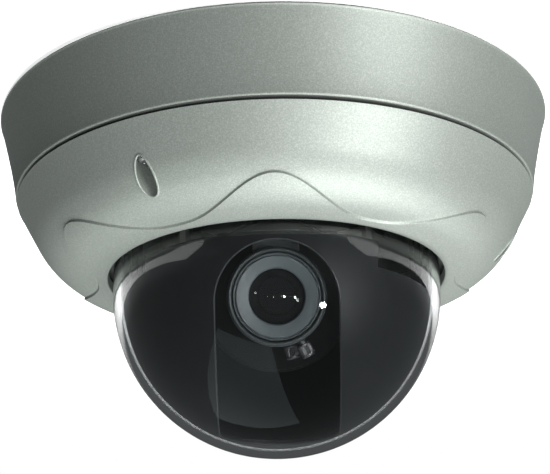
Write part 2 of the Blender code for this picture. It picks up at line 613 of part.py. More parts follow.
def lens_rings(zoom, focus):
    """Zoom ring behind, focus ring in front. The bezel and the front glass turn with the focus ring."""
    top = ZOOM_Z + ZOOM_LEN
    profile = [
        (LENS_R - 0.9, top), (LENS_R - 0.5, top - 0.4), (LENS_R - 0.5, ZOOM_Z + 0.4), (LENS_R - 0.9, ZOOM_Z),
        (LENS_R - 2.4, ZOOM_Z), (LENS_R - 2.4, top),
    ]
    turned("zoom_ring", "lens_black", profile, steps=36, parent=zoom)
    lock_screw("zoom_lock_screw", ZOOM_LOCK_AT, (ZOOM_Z + top) / 2, LENS_R - 0.5, zoom)
    top = LENS_FRONT
    profile = [
        (LENS_R - 1.3, top), (LENS_R - 0.4, top - 0.2), (LENS_R, top - 0.9), (LENS_R, FOCUS_Z + 0.5),
        (LENS_R - 0.5, FOCUS_Z), (7.6, FOCUS_Z), (7.6, top - 3.4), (LENS_R - 1.8, top - 3.4),
        (LENS_R - 1.8, top - 0.5),
    ]
    turned("focus_ring", "lens_black", profile, steps=36, parent=focus)
    lock_screw("focus_lock_screw", FOCUS_LOCK_AT, FOCUS_Z + FOCUS_LEN * 0.4, LENS_R, focus)
    back = top - 3.4 + GAP
    rim = LENS_R - 2.1
    profile = [
        (rim - 0.7, top - 0.6), (rim, top - 0.9), (rim, back), (GLASS_R + 0.2, back),
        (GLASS_R + 0.2, top - 1.9),
    ]
    turned("front_bezel", "lens_black", profile, steps=36, parent=focus)
    crown = [(GLASS_R * math.sin(math.radians(a)), top - 1.5 - 1.6 * (1 - math.cos(math.radians(a))))
             for a in (0, 20, 45, 70, 90)]
    crown[0] = (0.0, crown[0][1])
    turned("front_element", "lens_glass", [*crown, (GLASS_R, back), (0.0, back)], steps=30, parent=focus)


# ---------------------------------------------------------------- cable between the head and the main board
HARNESS_SWEEP = 109.2  # the less room there is above the housing, the further back the cable sweeps
HARNESS_R = 1.7


def head_harness(pan, direction):
    """Sleeved cable: out of the sensor board along the lens axis, then up through the turntable's hub."""
    start = Vector((0, 0, CENTRE_Z)) + direction * (SENSOR_Z - BOARD_T - 1.0)
    knee = Vector((0, 0, YOKE_Z - 3.0))
    bend = start - direction * (HARNESS_SWEEP / (knee.z - CENTRE_Z - BARREL_R))
    end = Vector((0, 0, MAIN_Z - GAP - 2.6 - GAP))
    wire = bpy.data.curves.new("head_harness", "CURVE")
    wire.dimensions = "3D"
    spline = wire.splines.new("POLY")
    points = [start]
    for i in range(9):
        t = i / 8
        points.append((1 - t) ** 2 * (start - direction * 1.5) + 2 * t * (1 - t) * bend + t * t * knee)
    points.append(end)
    spline.points.add(len(points) - 1)
    for point, place_at in zip(spline.points, points):
        point.co = (*((place_at - Vector((0, 0, PAN_Z))) * MM), 1.0)
    wire.bevel_depth, wire.bevel_resolution, wire.use_fill_caps = HARNESS_R * MM, 2, True
    place(wire, "head_harness", "rubber", parent=pan)


# ---------------------------------------------------------------- cover with its bubble
def cover_profile(inset=0.0):
    """Outer side of the cover from lip to rim: a sloping side, a soft corner and a nearly flat underside."""
    rim = (RIM_R + 1.0, RIM_Z)
    corner_r, corner_z = LIP_R - COVER_CORNER, RIM_Z + CORNER_UP
    begin = (LIP_R + (corner_r - LIP_R) * 0.53, LIP_Z + (corner_z - LIP_Z) * 0.53)
    stop = (corner_r + (rim[0] - corner_r) * 0.66, corner_z + (RIM_Z - corner_z) * 0.66)
    points = [(LIP_R, LIP_Z)]
    steps = 7
    for i in range(steps + 1):
        t = i / steps
        points.append(tuple(
            (1 - t) ** 2 * a + 2 * t * (1 - t) * b + t * t * c
            for a, b, c in zip(begin, (corner_r, corner_z), stop)
        ))
    points.append(rim)
    return offset(points, inset) if inset else points


def petal_radius(azimuth):
    wave = (1 + math.cos(math.radians(PETALS * azimuth))) / 2
    return PETAL_IN + (PETAL_OUT - PETAL_IN) * wave**PETAL_SHARP


def cover_column(azimuth):
    """Outside of the cover at an azimuth, from lip to rim, in mm. Beyond a petal's edge it lies lower than the
    pad, by nothing at the lip and by the pad's height from the fade depth on."""
    side = np.array(cover_profile())
    length = np.r_[0.0, np.cumsum(np.linalg.norm(np.diff(side, axis=0), axis=1))]
    slope = np.gradient(side, length, axis=0)
    edge = np.interp(-petal_radius(azimuth), -side[:, 0], length)
    rows = np.r_[np.linspace(0.0, edge, 8), np.linspace(edge + RELIEF_EDGE, length[-1], 6)]
    r, z = (np.interp(rows, length, side[:, k]) for k in (0, 1))
    depth = np.where(rows > edge, 0.0, RELIEF_H * np.clip((LIP_Z - z) / RELIEF_FADE, 0.0, 1.0))
    r, z = r + depth * np.interp(rows, length, slope[:, 1]), z - depth * np.interp(rows, length, slope[:, 0])
    return [around(*p) for p in zip(r, [azimuth] * len(rows), z)]


def lofted(name, look, columns, **where):
    """Closed surface through columns of points, each a closed outline, that go once round."""
    shape = bmesh.new()
    grid = [[shape.verts.new(p) for p in column] for column in columns]
    for left, right in zip(grid, grid[1:] + grid[:1]):
        for k in range(len(left)):
            on = (k + 1) % len(left)
            shape.faces.new((left[k], right[k], right[on], left[on]))
    return place(mesh_of(shape, name), name, look, **where)


def build_cover(cover):
    columns = []
    for i in range(2 * SHELL_STEPS):
        azimuth = i * 180 / SHELL_STEPS
        columns.append([*cover_column(azimuth), around(RIM_R, azimuth, RIM_Z), around(RIM_R, azimuth, LIP_Z)])
    body = lofted("dome_cover", "silver_paint", columns, parent=cover)
    inside = [p for p in cover_profile(WALL) if p[1] > FLOOR_Z + 0.4]
    inside[0] = (LIP_R - WALL, LIP_Z + 2.0)
    inside.append((FLANGE_R + 0.5, FLOOR_Z))
    cavity = turned("cover_cavity", None, [(0.0, LIP_Z + 2.0), *inside, (0.0, FLOOR_Z)], steps=SHELL_STEPS,
                    parent=cover)
    for i, azimuth in enumerate(SCREW_AZ):
        at = around(SCREW_R, azimuth)
        cut(cavity, rod(f"cover_boss_{i}", None, 5.4, RIM_Z - 2, LIP_Z - 0.5, steps=20, at=at, parent=cover))
    for i in range(4):
        at = around(CLAMP_SCREW_R, 45 + 90 * i)
        cut(cavity, rod(f"clamp_boss_{i}", None, 2.9, RIM_Z, CLAMP_Z - GAP, at=at, parent=cover))
    cut(body, cavity)
    for i, azimuth in enumerate(SCREW_AZ):
        at = around(SCREW_R, azimuth)
        pocket = rod(f"screw_pocket_{i}", None, POCKET_WIDE, RIM_Z - 5, LEDGE_Z, steps=20,
                     oval=POCKET_DEEP / POCKET_WIDE, at=at, turn=(0, 0, azimuth), parent=cover)
        hole = rod(f"screw_hole_{i}", None, TAP_R, LEDGE_Z - 2, LIP_Z + 3, steps=12, at=at, parent=cover)
        cut(body, pocket, hole)
    for i in range(4):
        at = around(CLAMP_SCREW_R, 45 + 90 * i)
        cut(body, rod(f"clamp_tap_{i}", None, 1.35, FLOOR_Z - 0.9, CLAMP_Z, steps=12, at=at,
                      turn=(0, 0, 50 + 90 * i), parent=cover))


def bubble_parts(cover):
    rings = 9
    angles = [math.radians(i * 90.0 / rings) for i in range(rings + 1)]
    outer = [(BUBBLE_R * math.cos(a), CENTRE_Z - BUBBLE_R * math.sin(a)) for a in angles]
    inner = [(BUBBLE_IN * math.cos(a), CENTRE_Z - BUBBLE_IN * math.sin(a)) for a in angles]
    outer[-1], inner[-1] = (0.0, outer[-1][1]), (0.0, inner[-1][1])
    top = FLANGE_Z + FLANGE_T
    flange = [(BUBBLE_IN, top), (FLANGE_R, top), (FLANGE_R, FLANGE_Z), (BUBBLE_R, FLANGE_Z)]
    turned("bubble", "clear_dome", [*reversed(inner), *flange, *outer], steps=SHELL_STEPS, parent=cover)
    inner, outer = RIM_R + 0.3, FLANGE_R - 0.5
    ring("bubble_gasket", "rubber", inner, outer, SEAL_Z, SEAL_Z + SEAL_T, steps=48, parent=cover)
    clamp = ring("clamp_ring", "zinc_plate", BUBBLE_IN + 0.6, FLANGE_R, CLAMP_Z, CLAMP_Z + CLAMP_T, steps=48,
                 parent=cover)
    for i in range(4):
        azimuth = 45 + 90 * i
        low, high = (-3.0, -CLAMP_SCREW_R - 1.6, CLAMP_Z), (3.0, -FLANGE_R + 2.0, CLAMP_Z + CLAMP_T)
        join(clamp, box(f"clamp_ear_{i}", None, low, high, turn=(0, 0, azimuth), parent=cover))
        at = around(CLAMP_SCREW_R, azimuth)
        hole = rod(f"clamp_hole_{i}", None, 1.45, CLAMP_Z - 2, CLAMP_Z + 5, steps=12, at=at, parent=cover)
        cut(clamp, hole)
        at = around(CLAMP_SCREW_R, azimuth, CLAMP_Z + CLAMP_T + GAP)
        screw(f"clamp_screw_{i + 1}", "steel", 2.3, 1.4, 1.1, 5.4, at=at, parent=cover)
    for i, azimuth in enumerate(SCREW_AZ):
        length = SEAM_TOP - LEDGE_Z + 9.0
        axis = empty(f"cover_screw_axis_{i + 1}", around(SCREW_R, azimuth, LEDGE_Z - GAP), parent=cover)
        screw(f"cover_screw_{i + 1}", "steel", 2.2, 2.6, SHANK_R, length, turn=(180, 0, 0), parent=axis)


def shade_round():
    """Applies the parts' modifiers, then shades round sides smooth and keeps real edges crisp."""
    bpy.context.view_layer.update()
    graph = bpy.context.evaluated_depsgraph_get()
    made = {part: bpy.data.meshes.new_from_object(part.evaluated_get(graph))
            for part in parts.objects if part.type == "MESH"}
    for part, mesh in made.items():
        part.modifiers.clear()
        part.data = mesh
        mesh.shade_smooth()
        mesh.set_sharp_from_angle(angle=math.radians(32))


# ---------------------------------------------------------------- assembly
mounting_base()
base_fittings()
main_board()
gimbal_plate()

pan_axis = empty("pan_axis", (0, 0, PAN_Z))
pan_parts(pan_axis)
inner_liner(pan_axis)

# Along the lens frame, X is to the right, Y is up and Z is the way that the lens looks.
tilt_axis = empty("tilt_axis", (0, 0, CENTRE_Z - PAN_Z), turn=90 + LENS_TILT, parent=pan_axis)
tilt_parts(tilt_axis)
roll_axis = empty("roll_axis", (0, 0, 0), parent=tilt_axis)
camera_parts(roll_axis)
zoom_axis = empty("zoom_axis", (0, 0, 0), parent=roll_axis)
focus_axis = empty("focus_axis", (0, 0, 0), parent=roll_axis)
lens_rings(zoom_axis, focus_axis)
tilt = math.radians(LENS_TILT)
head_harness(pan_axis, Vector((0, -math.cos(tilt), -math.sin(tilt))))

cover_axis = empty("cover_axis", (0, 0, 0))
build_cover(cover_axis)
bubble_parts(cover_axis)
shade_round()
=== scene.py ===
import json
import math

import bmesh
import bpy
import numpy as np
from mathutils import Matrix, Vector

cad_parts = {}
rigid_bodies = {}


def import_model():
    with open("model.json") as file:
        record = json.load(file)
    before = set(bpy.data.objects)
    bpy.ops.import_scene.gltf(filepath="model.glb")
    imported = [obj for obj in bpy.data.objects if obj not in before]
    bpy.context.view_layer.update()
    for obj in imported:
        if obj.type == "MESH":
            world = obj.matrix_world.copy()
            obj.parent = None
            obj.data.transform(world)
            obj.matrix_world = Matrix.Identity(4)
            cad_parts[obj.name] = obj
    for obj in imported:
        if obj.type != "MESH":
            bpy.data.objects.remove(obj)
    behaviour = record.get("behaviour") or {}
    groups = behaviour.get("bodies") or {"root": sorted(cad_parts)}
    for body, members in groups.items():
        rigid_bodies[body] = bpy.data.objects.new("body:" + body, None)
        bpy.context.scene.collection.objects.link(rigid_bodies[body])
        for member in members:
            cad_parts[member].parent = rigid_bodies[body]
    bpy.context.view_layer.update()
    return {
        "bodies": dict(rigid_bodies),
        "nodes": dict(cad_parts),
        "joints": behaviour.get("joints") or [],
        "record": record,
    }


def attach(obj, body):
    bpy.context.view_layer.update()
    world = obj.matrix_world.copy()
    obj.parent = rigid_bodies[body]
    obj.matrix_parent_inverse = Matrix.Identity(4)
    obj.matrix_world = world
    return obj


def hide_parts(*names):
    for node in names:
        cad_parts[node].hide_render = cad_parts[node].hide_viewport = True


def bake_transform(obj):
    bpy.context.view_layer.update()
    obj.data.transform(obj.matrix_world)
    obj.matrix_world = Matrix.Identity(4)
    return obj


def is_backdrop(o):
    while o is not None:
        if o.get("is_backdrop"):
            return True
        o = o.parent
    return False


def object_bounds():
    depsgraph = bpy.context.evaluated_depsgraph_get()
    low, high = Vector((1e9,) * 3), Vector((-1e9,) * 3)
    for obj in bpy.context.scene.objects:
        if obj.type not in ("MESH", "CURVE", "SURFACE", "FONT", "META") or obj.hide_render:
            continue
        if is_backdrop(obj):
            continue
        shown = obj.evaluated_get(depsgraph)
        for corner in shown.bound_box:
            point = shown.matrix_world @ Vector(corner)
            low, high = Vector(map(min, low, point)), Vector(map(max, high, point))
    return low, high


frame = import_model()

# ---------------------------------------------------------------- viewpoint
# The camera stands in front of and below the dome and looks up at it, with a long lens and a slight roll.
MM = 0.001
FOCAL, STAND_OFF = 117.34, 490.0
VIEW_BELOW, VIEW_ROLL, AIM_LOW = (math.radians(a) for a in (22.0, -1.21, 0.96))
seam_centre = Vector((0.0, 0.0, -23.2 * MM))
ahead = Vector((0.0, math.cos(VIEW_BELOW), math.sin(VIEW_BELOW)))
level_right = Vector((1.0, 0.0, 0.0))
level_up = level_right.cross(ahead)
right = math.cos(VIEW_ROLL) * level_right + math.sin(VIEW_ROLL) * level_up
above = -math.sin(VIEW_ROLL) * level_right + math.cos(VIEW_ROLL) * level_up
aim = math.cos(AIM_LOW) * ahead - math.sin(AIM_LOW) * above
top = right.cross(aim)
lens = bpy.data.cameras.new("viewpoint")
lens.lens, lens.sensor_width = FOCAL, 36.0
lens.clip_start, lens.clip_end = 0.02, 20.0
viewpoint = bpy.data.objects.new("viewpoint", lens)
bpy.context.scene.collection.objects.link(viewpoint)
turn = Matrix((right, top, -aim)).transposed().to_4x4()
viewpoint.matrix_world = Matrix.Translation(seam_centre - ahead * STAND_OFF * MM) @ turn
bpy.context.scene.camera = viewpoint

# ---------------------------------------------------------------- studio
# A matt white ceiling that the camera is fixed to, a pale floor far below it, and soft lamps in front and
# below.
bpy.context.scene.view_settings.view_transform = "Standard"
world = bpy.data.worlds.new("studio")
world.use_nodes = True
bpy.context.scene.world = world
tree = world.node_tree
WHITE = (1.0, 1.0, 1.0, 1.0)
dim, pale = tree.nodes["Background"], tree.nodes.new("ShaderNodeBackground")
dim.inputs["Color"].default_value, dim.inputs["Strength"].default_value = (0.90, 0.95, 0.97, 1.0), 0.08
pale.inputs["Color"].default_value, pale.inputs["Strength"].default_value = WHITE, 1.0


def either(tree, mask, first, second):
    """Shows the first shader where the mask is 0 and the second where it is 1, on the output of the tree."""
    choice = tree.nodes.new("ShaderNodeMixShader")
    for n, socket in enumerate((mask, first.outputs[0], second.outputs[0])):
        tree.links.new(socket, choice.inputs[n])
    shown = tree.get_output_node("ALL").inputs["Surface"]
    tree.links.new(choice.outputs[0], shown)


seen = tree.nodes.new("ShaderNodeLightPath")
either(tree, seen.outputs["Is Camera Ray"], dim, pale)
no_glare = bpy.data.collections.new("kept_free_of_lamp_glare")


def softbox(name, place, width, watts, glare=False):
    """Lamp at a place, facing the middle of the dome. A square one leaves the clear parts alone, and a
    round one, with glare, shows in them as a highlight."""
    data = bpy.data.lights.new(name, "AREA")
    data.shape, data.size, data.size_y = "ELLIPSE" if glare else "RECTANGLE", width, width
    data.energy = watts
    lamp = bpy.data.objects.new(name, data)
    bpy.context.scene.collection.objects.link(lamp)
    lamp.location = place
    lamp.rotation_euler = (Vector((0.0, 0.0, -0.04)) - Vector(place)).to_track_quat("-Z", "Y").to_euler()
    if not glare:
        lamp.light_linking.receiver_collection = no_glare


softbox("key_softbox", (0.88, -0.88, -0.30), 0.6, 10.3)
softbox("low_softbox", (0.14, 0.04, -1.15), 1.3, 22.5)
softbox("back_softbox", (0.0, 1.25, 0.95), 0.8, 26.0)
softbox("left_flash", (0.055, -0.61, -0.275), 0.014, 0.16, glare=True)
softbox("right_flash", (0.135, -0.60, -0.28), 0.014, 0.16, glare=True)
softbox("side_spark", (0.425, -0.645, -0.383), 0.06, 0.9, glare=True)


def staged_sheet(name, corners, material):
    """Flat sheet of four corners, which isn't part of the camera. It faces the side that sees them
    anticlockwise."""
    mesh = bpy.data.meshes.new(name)
    mesh.from_pydata(corners, [], [(0, 1, 2), (0, 2, 3)])
    mesh.materials.append(material)
    sheet = bpy.data.objects.new(name, mesh)
    bpy.context.scene.collection.objects.link(sheet)
    sheet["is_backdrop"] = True
    return sheet


def plain(name, sockets):
    """Principled material whose sockets are constants."""
    made = bpy.data.materials.new(name)
    made.use_nodes = True
    for socket, value in sockets.items():
        made.node_tree.nodes["Principled BSDF"].inputs[socket].default_value = value
    return made


def worked(tree, operation, *sources, clamp=False):
    """Socket that holds the result of a sum on these sockets."""
    node = tree.nodes.new("ShaderNodeMath")
    node.operation, node.use_clamp = operation, clamp
    for n, source in enumerate(sources):
        tree.links.new(source, node.inputs[n])
    return node.outputs[0]


# The ceiling shows only from below, so that the views from above see the camera's back plate, and it fades
# out behind the dome. Only what looks at it directly or through clear parts sees it.
plaster = plain("white_plaster", {
    "Base Color": (0.95, 0.95, 0.95, 1.0), "Roughness": 0.95, "Specular IOR Level": 0.0,
    "Emission Color": WHITE, "Emission Strength": 0.62,
})
tree = plaster.node_tree
seen, facing = tree.nodes.new("ShaderNodeLightPath"), tree.nodes.new("ShaderNodeNewGeometry")
looked_at = worked(tree, "ADD", seen.outputs["Is Camera Ray"], seen.outputs["Is Transmission Ray"])
from_below = worked(tree, "SUBTRACT", looked_at, facing.outputs["Backfacing"], clamp=True)
where, axes = tree.nodes.new("ShaderNodeTexCoord"), tree.nodes.new("ShaderNodeSeparateXYZ")
tree.links.new(where.outputs["Object"], axes.inputs[0])
behind = tree.nodes.new("ShaderNodeMapRange")
behind.inputs["From Min"].default_value, behind.inputs["From Max"].default_value = 0.13, 0.34
behind.inputs["To Min"].default_value, behind.inputs["To Max"].default_value = 1.0, 0.0
tree.links.new(axes.outputs["Y"], behind.inputs["Value"])
clear = tree.nodes.new("ShaderNodeBsdfTransparent")
fading = worked(tree, "MULTIPLY", from_below, behind.outputs["Result"])
either(tree, fading, clear, tree.nodes["Principled BSDF"])
staged_sheet("studio_ceiling", [(-0.21, 0.36, 0.0006), (0.21, 0.36, 0.0006), (0.21, -0.12, 0.0006),
                                (-0.21, -0.12, 0.0006)], plaster)

vinyl = plain("pale_floor", {
    "Base Color": (0.82, 0.83, 0.84, 1.0), "Roughness": 0.9, "Emission Color": (0.96, 0.97, 0.98, 1.0),
    "Emission Strength": 0.85,
})
floor = staged_sheet("studio_floor", [(-4.0, -4.0, -1.3), (4.0, -4.0, -1.3), (4.0, 4.0, -1.3),
                                      (-4.0, 4.0, -1.3)], vinyl)
floor.visible_transmission = floor.visible_diffuse = floor.visible_glossy = False

# A dim grey card in front and below, which shows only as a slanted reflection in the bubble.
dim_grey = plain("dim_grey_card", {
    "Base Color": (0.0, 0.0, 0.0, 1.0), "Emission Color": (0.8, 0.95, 0.95, 1.0), "Emission Strength": 0.42,
})
card = staged_sheet("reflected_card", [(-0.53, -0.46, -0.51), (-0.06, -0.50, -0.73), (0.13, 0.38, -0.77),
                                       (-0.36, 0.45, -0.64)], dim_grey)
card.visible_camera = card.visible_diffuse = card.visible_transmission = card.visible_shadow = False

# ---------------------------------------------------------------- cast base
# Die-cast aluminium cup that screws to the ceiling, with bosses for the cover screws, posts for the gimbal
# and standoffs for the board inside. Its outside is powder-coated in a fine metallic silver-grey.
BASE_R, BASE_H, SEAM_R, WALL, PLATE = 75.0, 22.7, 70.2, 3.0, 3.0
LIP_Z, CENTRE_Z = -23.7, -48.6
LEDGE_Z = LIP_Z - 5.8
SCREW_AZ = (-30.0, 90.0, 210.0)
SCREW_R = SEAM_R - 8.2
POST_R = SEAM_R - WALL - 13.2
STANDOFF_R = POST_R - 14.0
POST_AZ, BOARD_AZ, MOUNT_AZ = (30.0, 150.0, 270.0), (60.0, 180.0, 300.0), (0.0, 120.0, 240.0)
CRISP = math.radians(34.0)


def around(radius, azimuth, z=0.0):
    """Point at a radius and an azimuth from the front: x is r sin a, and y is minus r cos a."""
    a = np.radians(azimuth)
    return np.array((radius * np.sin(a), -radius * np.cos(a), z))


def softened(corners, cut=0.4, steps=4):
    """Outline with each inner corner replaced by a curve: it leaves the outline a distance cut before the
    corner, reaches it as far after it, and is a quadratic Bezier between, with the corner as its middle
    point."""
    corners = [np.asarray(c, float) for c in corners]
    out = [corners[0]]
    for before, corner, after in zip(corners, corners[1:], corners[2:]):
        back, on = before - corner, after - corner
        reach = min(cut, 0.45 * np.linalg.norm(back), 0.45 * np.linalg.norm(on))
        a, b = corner + back / np.linalg.norm(back) * reach, corner + on / np.linalg.norm(on) * reach
        t = np.linspace(0, 1, steps + 1)[:, None]
        out.extend((1 - t) ** 2 * a + 2 * t * (1 - t) * corner + t**2 * b)
    return np.array([*out, corners[-1]])


def shaped(name, points, faces):
    """Object of points in millimetres and faces. Doubles are merged, normals turned outwards, and sharp
    edges kept."""
    mesh = bpy.data.meshes.new(name)
    mesh.from_pydata((np.asarray(points, float) * MM).tolist(), [], [list(f) for f in faces])
    work = bmesh.new()
    work.from_mesh(mesh)
    bmesh.ops.remove_doubles(work, verts=work.verts, dist=1e-7)
    bmesh.ops.dissolve_degenerate(work, edges=work.edges, dist=1e-8)
    bmesh.ops.recalc_face_normals(work, faces=work.faces)
    work.to_mesh(mesh)
    work.free()
    mesh.shade_smooth()
    mesh.set_sharp_from_angle(angle=CRISP)
    made = bpy.data.objects.new(name, mesh)
    bpy.context.scene.collection.objects.link(made)
    return made


def grid_faces(rows, columns, wrap_rows=False):
    """Quads of a grid of rows of points. It closes on itself along each row, and across the rows if
    wrapped."""
    i = np.arange(rows if wrap_rows else rows - 1)[:, None]
    j = np.arange(columns)[None, :]
    down, on = (i + 1) % rows, (j + 1) % columns
    corners = [i * columns + j, i * columns + on, down * columns + on, down * columns + j]
    return np.stack(np.broadcast_arrays(*corners), -1).reshape(-1, 4)


def lathe(name, outline, steps=144, frame=None, ring=True, waves=()):
    """Outline point (r, z) turned by angle a goes to (r sin a, -r cos a, z), and then into the frame's
    axes. A ring closes the outline on itself; otherwise it starts and ends on the axis. Each wave is a
    count, a depth, and limits of r and z: between them, r changes by the depth times the cosine of count
    times a."""
    outline = np.asarray(outline, float)
    a = np.linspace(0, 2 * np.pi, steps, endpoint=False)
    r, z = outline[:, 0, None], outline[:, 1, None]
    shift = 0 * r * a
    for count, depth, (r_low, r_high), (z_low, z_high) in waves:
        within = (r >= r_low) & (r <= r_high) & (z >= z_low) & (z <= z_high)
        shift = shift + within * depth * np.cos(count * a)
    r = r + shift
    points = np.stack([r * np.sin(a), -r * np.cos(a), z + 0 * a], -1).reshape(-1, 3)
    if frame is not None:
        points = points @ frame[0].T + frame[1]
    return shaped(name, points, grid_faces(len(outline), steps, wrap_rows=ring))


def rounded_ring(inner, outer, low, high, cut=0.25):
    """Closed outline of a ring of rectangular section with rounded corners."""
    corners = [(outer, high), (outer, low), (inner, low), (inner, high)]
    ends = [(outer, (low + high) / 2), *corners[1:], corners[0], (outer, (low + high) / 2)]
    return softened(ends, cut)[:-1]


def pins(name, places, radius, low, high, steps=40, oval=1.0, turns=None):
    """Upright cylinders of one radius between two heights, one at each place. oval stretches each one along
    its own Y before it is turned."""
    a = np.linspace(0, 2 * np.pi, steps, endpoint=False)
    foot = np.stack([radius * np.cos(a), radius * oval * np.sin(a)], -1)
    points, faces = [], []
    for n, (x, y, _) in enumerate(places):
        t = math.radians(turns[n]) if turns else 0.0
        spin = np.array(((math.cos(t), -math.sin(t)), (math.sin(t), math.cos(t))))
        flat = foot @ spin.T + (x, y)
        first = len(points) * steps
        points += [np.c_[flat, np.full(steps, low)], np.c_[flat, np.full(steps, high)]]
        faces += [tuple(f) for f in grid_faces(2, steps) + first]
        ring = range(first, first + 2 * steps)
        faces += [tuple(ring[:steps]), tuple(ring[:steps - 1:-1])]
    return shaped(name, np.concatenate(points), faces)


def carved(piece, *steps):
    """Applies Booleans in turn: each step is an operation and a tool, and the tools are used up."""
    for operation, tool in steps:
        carve = piece.modifiers.new("carve", "BOOLEAN")
        carve.operation, carve.solver, carve.object = operation, "EXACT", tool
        bpy.context.view_layer.update()
        graph = bpy.context.evaluated_depsgraph_get()
        mesh = bpy.data.meshes.new_from_object(piece.evaluated_get(graph))
        piece.modifiers.clear()
        piece.data = mesh
        bpy.data.objects.remove(tool)
    piece.data.shade_smooth()
    piece.data.set_sharp_from_angle(angle=CRISP)
    return piece


height = np.linspace(0.05, 0.95, 12)
outer_side = [(BASE_R - 0.8, 0.0), (BASE_R, -0.8)]
outer_side += [(SEAM_R + (BASE_R - SEAM_R) * (1 - t) ** 1.25, -BASE_H * t) for t in height]
outer_side += [(SEAM_R, -BASE_H), (SEAM_R - WALL, -BASE_H), (SEAM_R - WALL, -BASE_H + 1.0)]
inner_side = [(SEAM_R + (BASE_R - SEAM_R) * (1 - t) ** 1.25 - WALL, -BASE_H * t) for t in height[:0:-1]]
outline = [(0.0, 0.0), *outer_side, *inner_side, (BASE_R - WALL, -PLATE), (0.0, -PLATE)]
base = lathe("base_casting", softened(outline, 0.45), steps=192, ring=False)
bosses = [around(SCREW_R, a) for a in SCREW_AZ]
posts = [around(POST_R, a) for a in POST_AZ]
standoffs = [around(STANDOFF_R, a) for a in BOARD_AZ]
mount_holes = [around(POST_R + 6.0, a) for a in MOUNT_AZ]
cable_hole = around(POST_R + 2.0, 300.0)
base = carved(
    base,
    ("UNION", pins("bosses", bosses, 4.6, -BASE_H + 1.5, -1.5)),
    ("UNION", pins("posts", posts, 3.5, -12.6, -1.5)),
    ("UNION", pins("standoffs", standoffs, 3.0, -7.7, -1.5)),
    ("DIFFERENCE", pins("boss_holes", bosses, 1.75, -BASE_H - 2.0, -9.5, steps=24)),
    ("DIFFERENCE", pins("post_holes", posts, 1.4, -15.0, -5.0, steps=24)),
    ("DIFFERENCE", pins("standoff_holes", standoffs, 1.2, -10.0, -3.6, steps=24)),
    ("DIFFERENCE", pins("mount_holes", mount_holes, 2.6, -5.0, 2.0, steps=36)),
    ("DIFFERENCE", pins("cable_hole", [cable_hole], 8.0, -5.0, 2.0, steps=60)),
)


def new_group(name, inputs, outputs):
    """Empty shader node group with named float or colour inputs and named outputs."""
    group = bpy.data.node_groups.new(name, "ShaderNodeTree")
    kinds = {"float": "NodeSocketFloat", "colour": "NodeSocketColor", "vector": "NodeSocketVector"}
    for socket, kind, value in inputs:
        made = group.interface.new_socket(socket, in_out="INPUT", socket_type=kinds[kind])
        if value is not None:
            made.default_value = value
    for socket, kind in outputs:
        group.interface.new_socket(socket, in_out="OUTPUT", socket_type=kinds[kind])
    return group, group.nodes.new("NodeGroupInput"), group.nodes.new("NodeGroupOutput")


def flake_group():
    """Metal-flake paint. A fine noise of flakes lightens a colour and gives a height for bump, and a broad
    one changes the roughness."""
    group, given, out = new_group(
        "metal_flake",
        [("Colour", "colour", (0.5, 0.5, 0.5, 1.0)), ("Flake", "colour", (0.8, 0.8, 0.8, 1.0)),
         ("Size", "float", 2500.0), ("Amount", "float", 0.3), ("Roughness", "float", 0.45)],
        [("Colour", "colour"), ("Roughness", "float"), ("Height", "float")],
    )
    nodes, links = group.nodes, group.links
    where = nodes.new("ShaderNodeTexCoord")
    flakes = nodes.new("ShaderNodeTexNoise")
    flakes.inputs["Detail"].default_value = 2.0
    flakes.inputs["Roughness"].default_value = 0.7
    links.new(where.outputs["Object"], flakes.inputs["Vector"])
    links.new(given.outputs["Size"], flakes.inputs["Scale"])
    bright = nodes.new("ShaderNodeMapRange")
    bright.inputs["From Min"].default_value, bright.inputs["From Max"].default_value = 0.42, 0.72
    links.new(flakes.outputs["Fac"], bright.inputs["Value"])
    mix = nodes.new("ShaderNodeMix")
    mix.data_type = "RGBA"
    strength = worked(group, "MULTIPLY", bright.outputs["Result"], given.outputs["Amount"])
    links.new(strength, mix.inputs["Factor"])
    links.new(given.outputs["Colour"], mix.inputs["A"])
    links.new(given.outputs["Flake"], mix.inputs["B"])
    cloud = nodes.new("ShaderNodeTexNoise")
    cloud.inputs["Scale"].default_value = 45.0
    cloud.inputs["Detail"].default_value = 3.0
    links.new(where.outputs["Object"], cloud.inputs["Vector"])
    dull = nodes.new("ShaderNodeMapRange")
    dull.inputs["To Min"].default_value, dull.inputs["To Max"].default_value = -0.04, 0.04
    links.new(cloud.outputs["Fac"], dull.inputs["Value"])
    rough = worked(group, "ADD", given.outputs["Roughness"], dull.outputs["Result"])
    links.new(mix.outputs["Result"], out.inputs["Colour"])
    links.new(rough, out.inputs["Roughness"])
    links.new(flakes.outputs["Fac"], out.inputs["Height"])
    return group


def painted(name, group, values, bump, shader):
    """Principled material whose colour, roughness and bump height come from a group. values are the group's
    own, bump is a strength and a distance, and shader holds the shader's plain sockets."""
    made = plain(name, shader)
    tree = made.node_tree
    surface = tree.nodes["Principled BSDF"]
    effect = tree.nodes.new("ShaderNodeGroup")
    effect.node_tree = group
    for socket, value in values.items():
        effect.inputs[socket].default_value = value
    tree.links.new(effect.outputs["Colour"], surface.inputs["Base Color"])
    tree.links.new(effect.outputs["Roughness"], surface.inputs["Roughness"])
    relief = tree.nodes.new("ShaderNodeBump")
    relief.inputs["Strength"].default_value, relief.inputs["Distance"].default_value = bump
    tree.links.new(effect.outputs["Height"], relief.inputs["Height"])
    tree.links.new(relief.outputs["Normal"], surface.inputs["Normal"])
    return made


def dress(piece, material, body, *nodes, slot):
    """Gives a new piece its material, lets it ride on a body, and stands it in for its CAD nodes."""
    piece.data.materials.clear()
    piece.data.materials.append(material)
    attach(piece, body)
    if nodes:
        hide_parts(*nodes)


